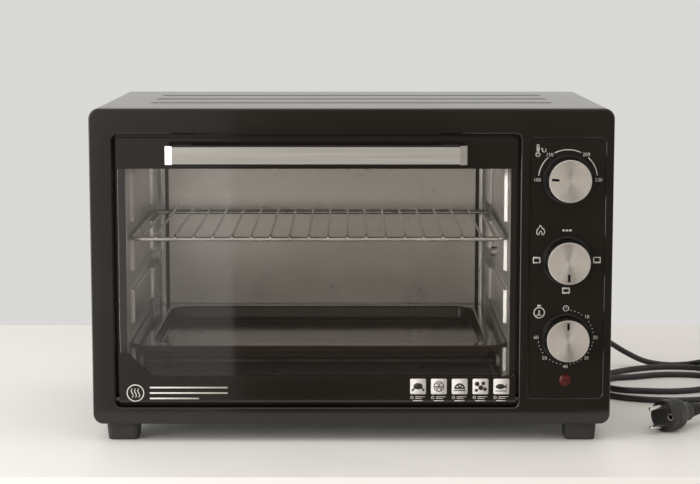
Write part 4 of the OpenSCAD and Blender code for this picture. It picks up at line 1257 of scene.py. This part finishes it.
def make_marks():
    face = PANEL.y0 - 0.04
    temperature_marks(face)
    function_marks(face)
    timer_marks(face)
    door_marks()


# ---- carried-over CAD nodes ----

# rounding in millimetres
SOFT_EDGES = {
    "door_top_rail": 0.7, "door_bottom_rail": 0.6, "door_glass": 0.5, "back_panel": 0.2,
    "base_plate": 0.2, "wall_spacers": 0.8, "control_panel": 0.3, "crumb_tray": 0.25,
    "heat_shield": 0.2, "cavity_back_wall": 0.2, "cavity_ceiling": 0.2, "cavity_floor": 0.2,
    "thermostat": 0.5, "function_switch": 0.5, "timer_mechanism": 0.5, "terminal_block": 0.6,
    "rotisserie_coupling": 0.3, "rotisserie_motor": 0.4, "element_insulators": 0.5,
    "door_quadrants": 0.2, "hinge_brackets": 0.3}

NODE_LOOKS = {
    # painted shade: the hinge pins take the dark heater steel, dimmed where they show in the door gap
    "hinge_pins": "element_steel", "hinge_brackets": "element_steel",
    "cavity_back_wall": "lit_back_wall_steel"}


def dress_nodes():
    """Gives every CAD node its material, and rounds the edges of those with plain corners."""
    for row in frame["record"]["subparts"]:
        node = frame["nodes"][row["node"]]
        look = NODE_LOOKS.get(row["node"], row["material_slot"])
        node.data.materials.clear()
        node.data.materials.append(MATERIALS[look])
        width = SOFT_EDGES.get(row["node"])
        if width:
            weld = node.modifiers.new("weld", "WELD")
            weld.merge_threshold = 0.01 * MM
            bevel(node, width, 2)
            weigh_normals(node)


# ---- counter and light ----

# radiance against the sine of the elevation: the wall behind the oven and the room in front of it
BACK_ROOM = ((0.0, (0.695, 0.69, 0.675)), (0.08, (0.56, 0.545, 0.51)))
FRONT_ROOM = ((-1.0, (0.36, 0.33, 0.30)), (-0.6, (1.30, 1.24, 1.16)),
              (-0.36, (1.35, 1.28, 1.18)), (-0.28, (0.15, 0.125, 0.10)),
              (-0.06, (0.20, 0.17, 0.14)), (0.0, (0.76, 0.69, 0.62)),
              (0.1, (0.90, 0.84, 0.77)))


def make_counter():
    """Plain pale slab that the oven stands on."""
    part = Builder()
    outline = rounded(-2600, 2600, -138, 660, 6, 4)
    part.capped([part.level(outline, z) for z in (-40, 0)])
    part.face_outwards()
    counter = part.to_object("counter")
    paint = Paint("counter_lacquer", IOR=1.45)
    paint.colour(paint.noise(3), (0.79, 0.785, 0.775), (0.82, 0.815, 0.805))
    paint.roughness(paint.noise(12), 0.38, 0.46)
    counter.data.materials.append(paint.material)


def make_world():
    """Pale wall behind; in front a warm room: bright, dark just below the horizon, bright floor."""
    world = bpy.data.worlds.new("surroundings")
    bpy.context.scene.world = world
    world.use_nodes = True
    nodes, links = world.node_tree.nodes, world.node_tree.links
    place = nodes.new("ShaderNodeTexCoord")
    parts = nodes.new("ShaderNodeSeparateXYZ")
    links.new(place.outputs["Generated"], parts.inputs["Vector"])

    def ramp_along(axis, shades):
        """Colour ramp over one component of the direction, whose stops run from -1 to 1."""
        carry = nodes.new("ShaderNodeMapRange")
        carry.inputs["From Min"].default_value = -1
        carry.inputs["From Max"].default_value = 1
        links.new(parts.outputs[axis], carry.inputs["Value"])
        ramp = nodes.new("ShaderNodeValToRGB")
        for stop, shade in shades[2:]:
            ramp.color_ramp.elements.new((stop + 1) / 2)
        for element, (stop, shade) in zip(ramp.color_ramp.elements, shades):
            element.position = (stop + 1) / 2
            element.color = (*shade, 1)
        links.new(carry.outputs["Result"], ramp.inputs["Fac"])
        return ramp.outputs["Color"]

    height = ramp_along("Z", FRONT_ROOM)
    behind = ramp_along("Y", ((0.0, (0, 0, 0)), (0.35, (1, 1, 1))))
    mix = nodes.new("ShaderNodeMix")
    mix.data_type = "RGBA"
    links.new(behind, mix.inputs["Factor"])
    links.new(height, mix.inputs["A"])
    links.new(ramp_along("Z", BACK_ROOM), mix.inputs["B"])
    links.new(mix.outputs["Result"], nodes["Background"].inputs["Color"])


def add_light(name, place, aim, width, height, power, colour=(1, 1, 1)):
    """Soft rectangular light at place, turned towards aim; both in millimetres."""
    data = bpy.data.lights.new(name, "AREA")
    data.shape = "RECTANGLE"
    data.size = width * MM
    data.size_y = height * MM
    data.energy = power
    data.color = colour
    light = add_object(name, data)
    light.location = at(*place)
    light.rotation_euler = (at(*aim) - at(*place)).to_track_quat("-Z", "Y").to_euler()


def make_lights():
    """A tall window on the left, light from above and over the camera, and two cards beside it."""
    add_light("window", (-1500, -700, 550), (0, -300, 250), 1500, 2200, 38, (1, 0.99, 0.98))
    add_light("overhead", (0, 200, 1900), (0, 150, 0), 2400, 1800, 7)
    add_light("over_camera", (0, -2000, 1150), (0, 100, 150), 1600, 900, 1, (1, 0.98, 0.95))
    add_light("beside_camera", (-565, -1905, 0), (-565, 0, 0), 670, 1000, 0.8)
    add_light("far_left", (-700, -1904, 0), (-700, 0, 0), 400, 1000, 0.35)
    bpy.context.scene.view_settings.view_transform = "Standard"


make_camera()
make_cord()
dress_nodes()
make_bezel()
make_shell()
make_feet()
make_side_walls()
make_handle()
for dial, angle in zip(DIALS, (175, 270, 90)):
    make_dial(dial, angle)
make_rack()
make_tray()
make_screws()
make_marks()
make_counter()
make_world()
make_lights()

bpy.context.view_layer.update()
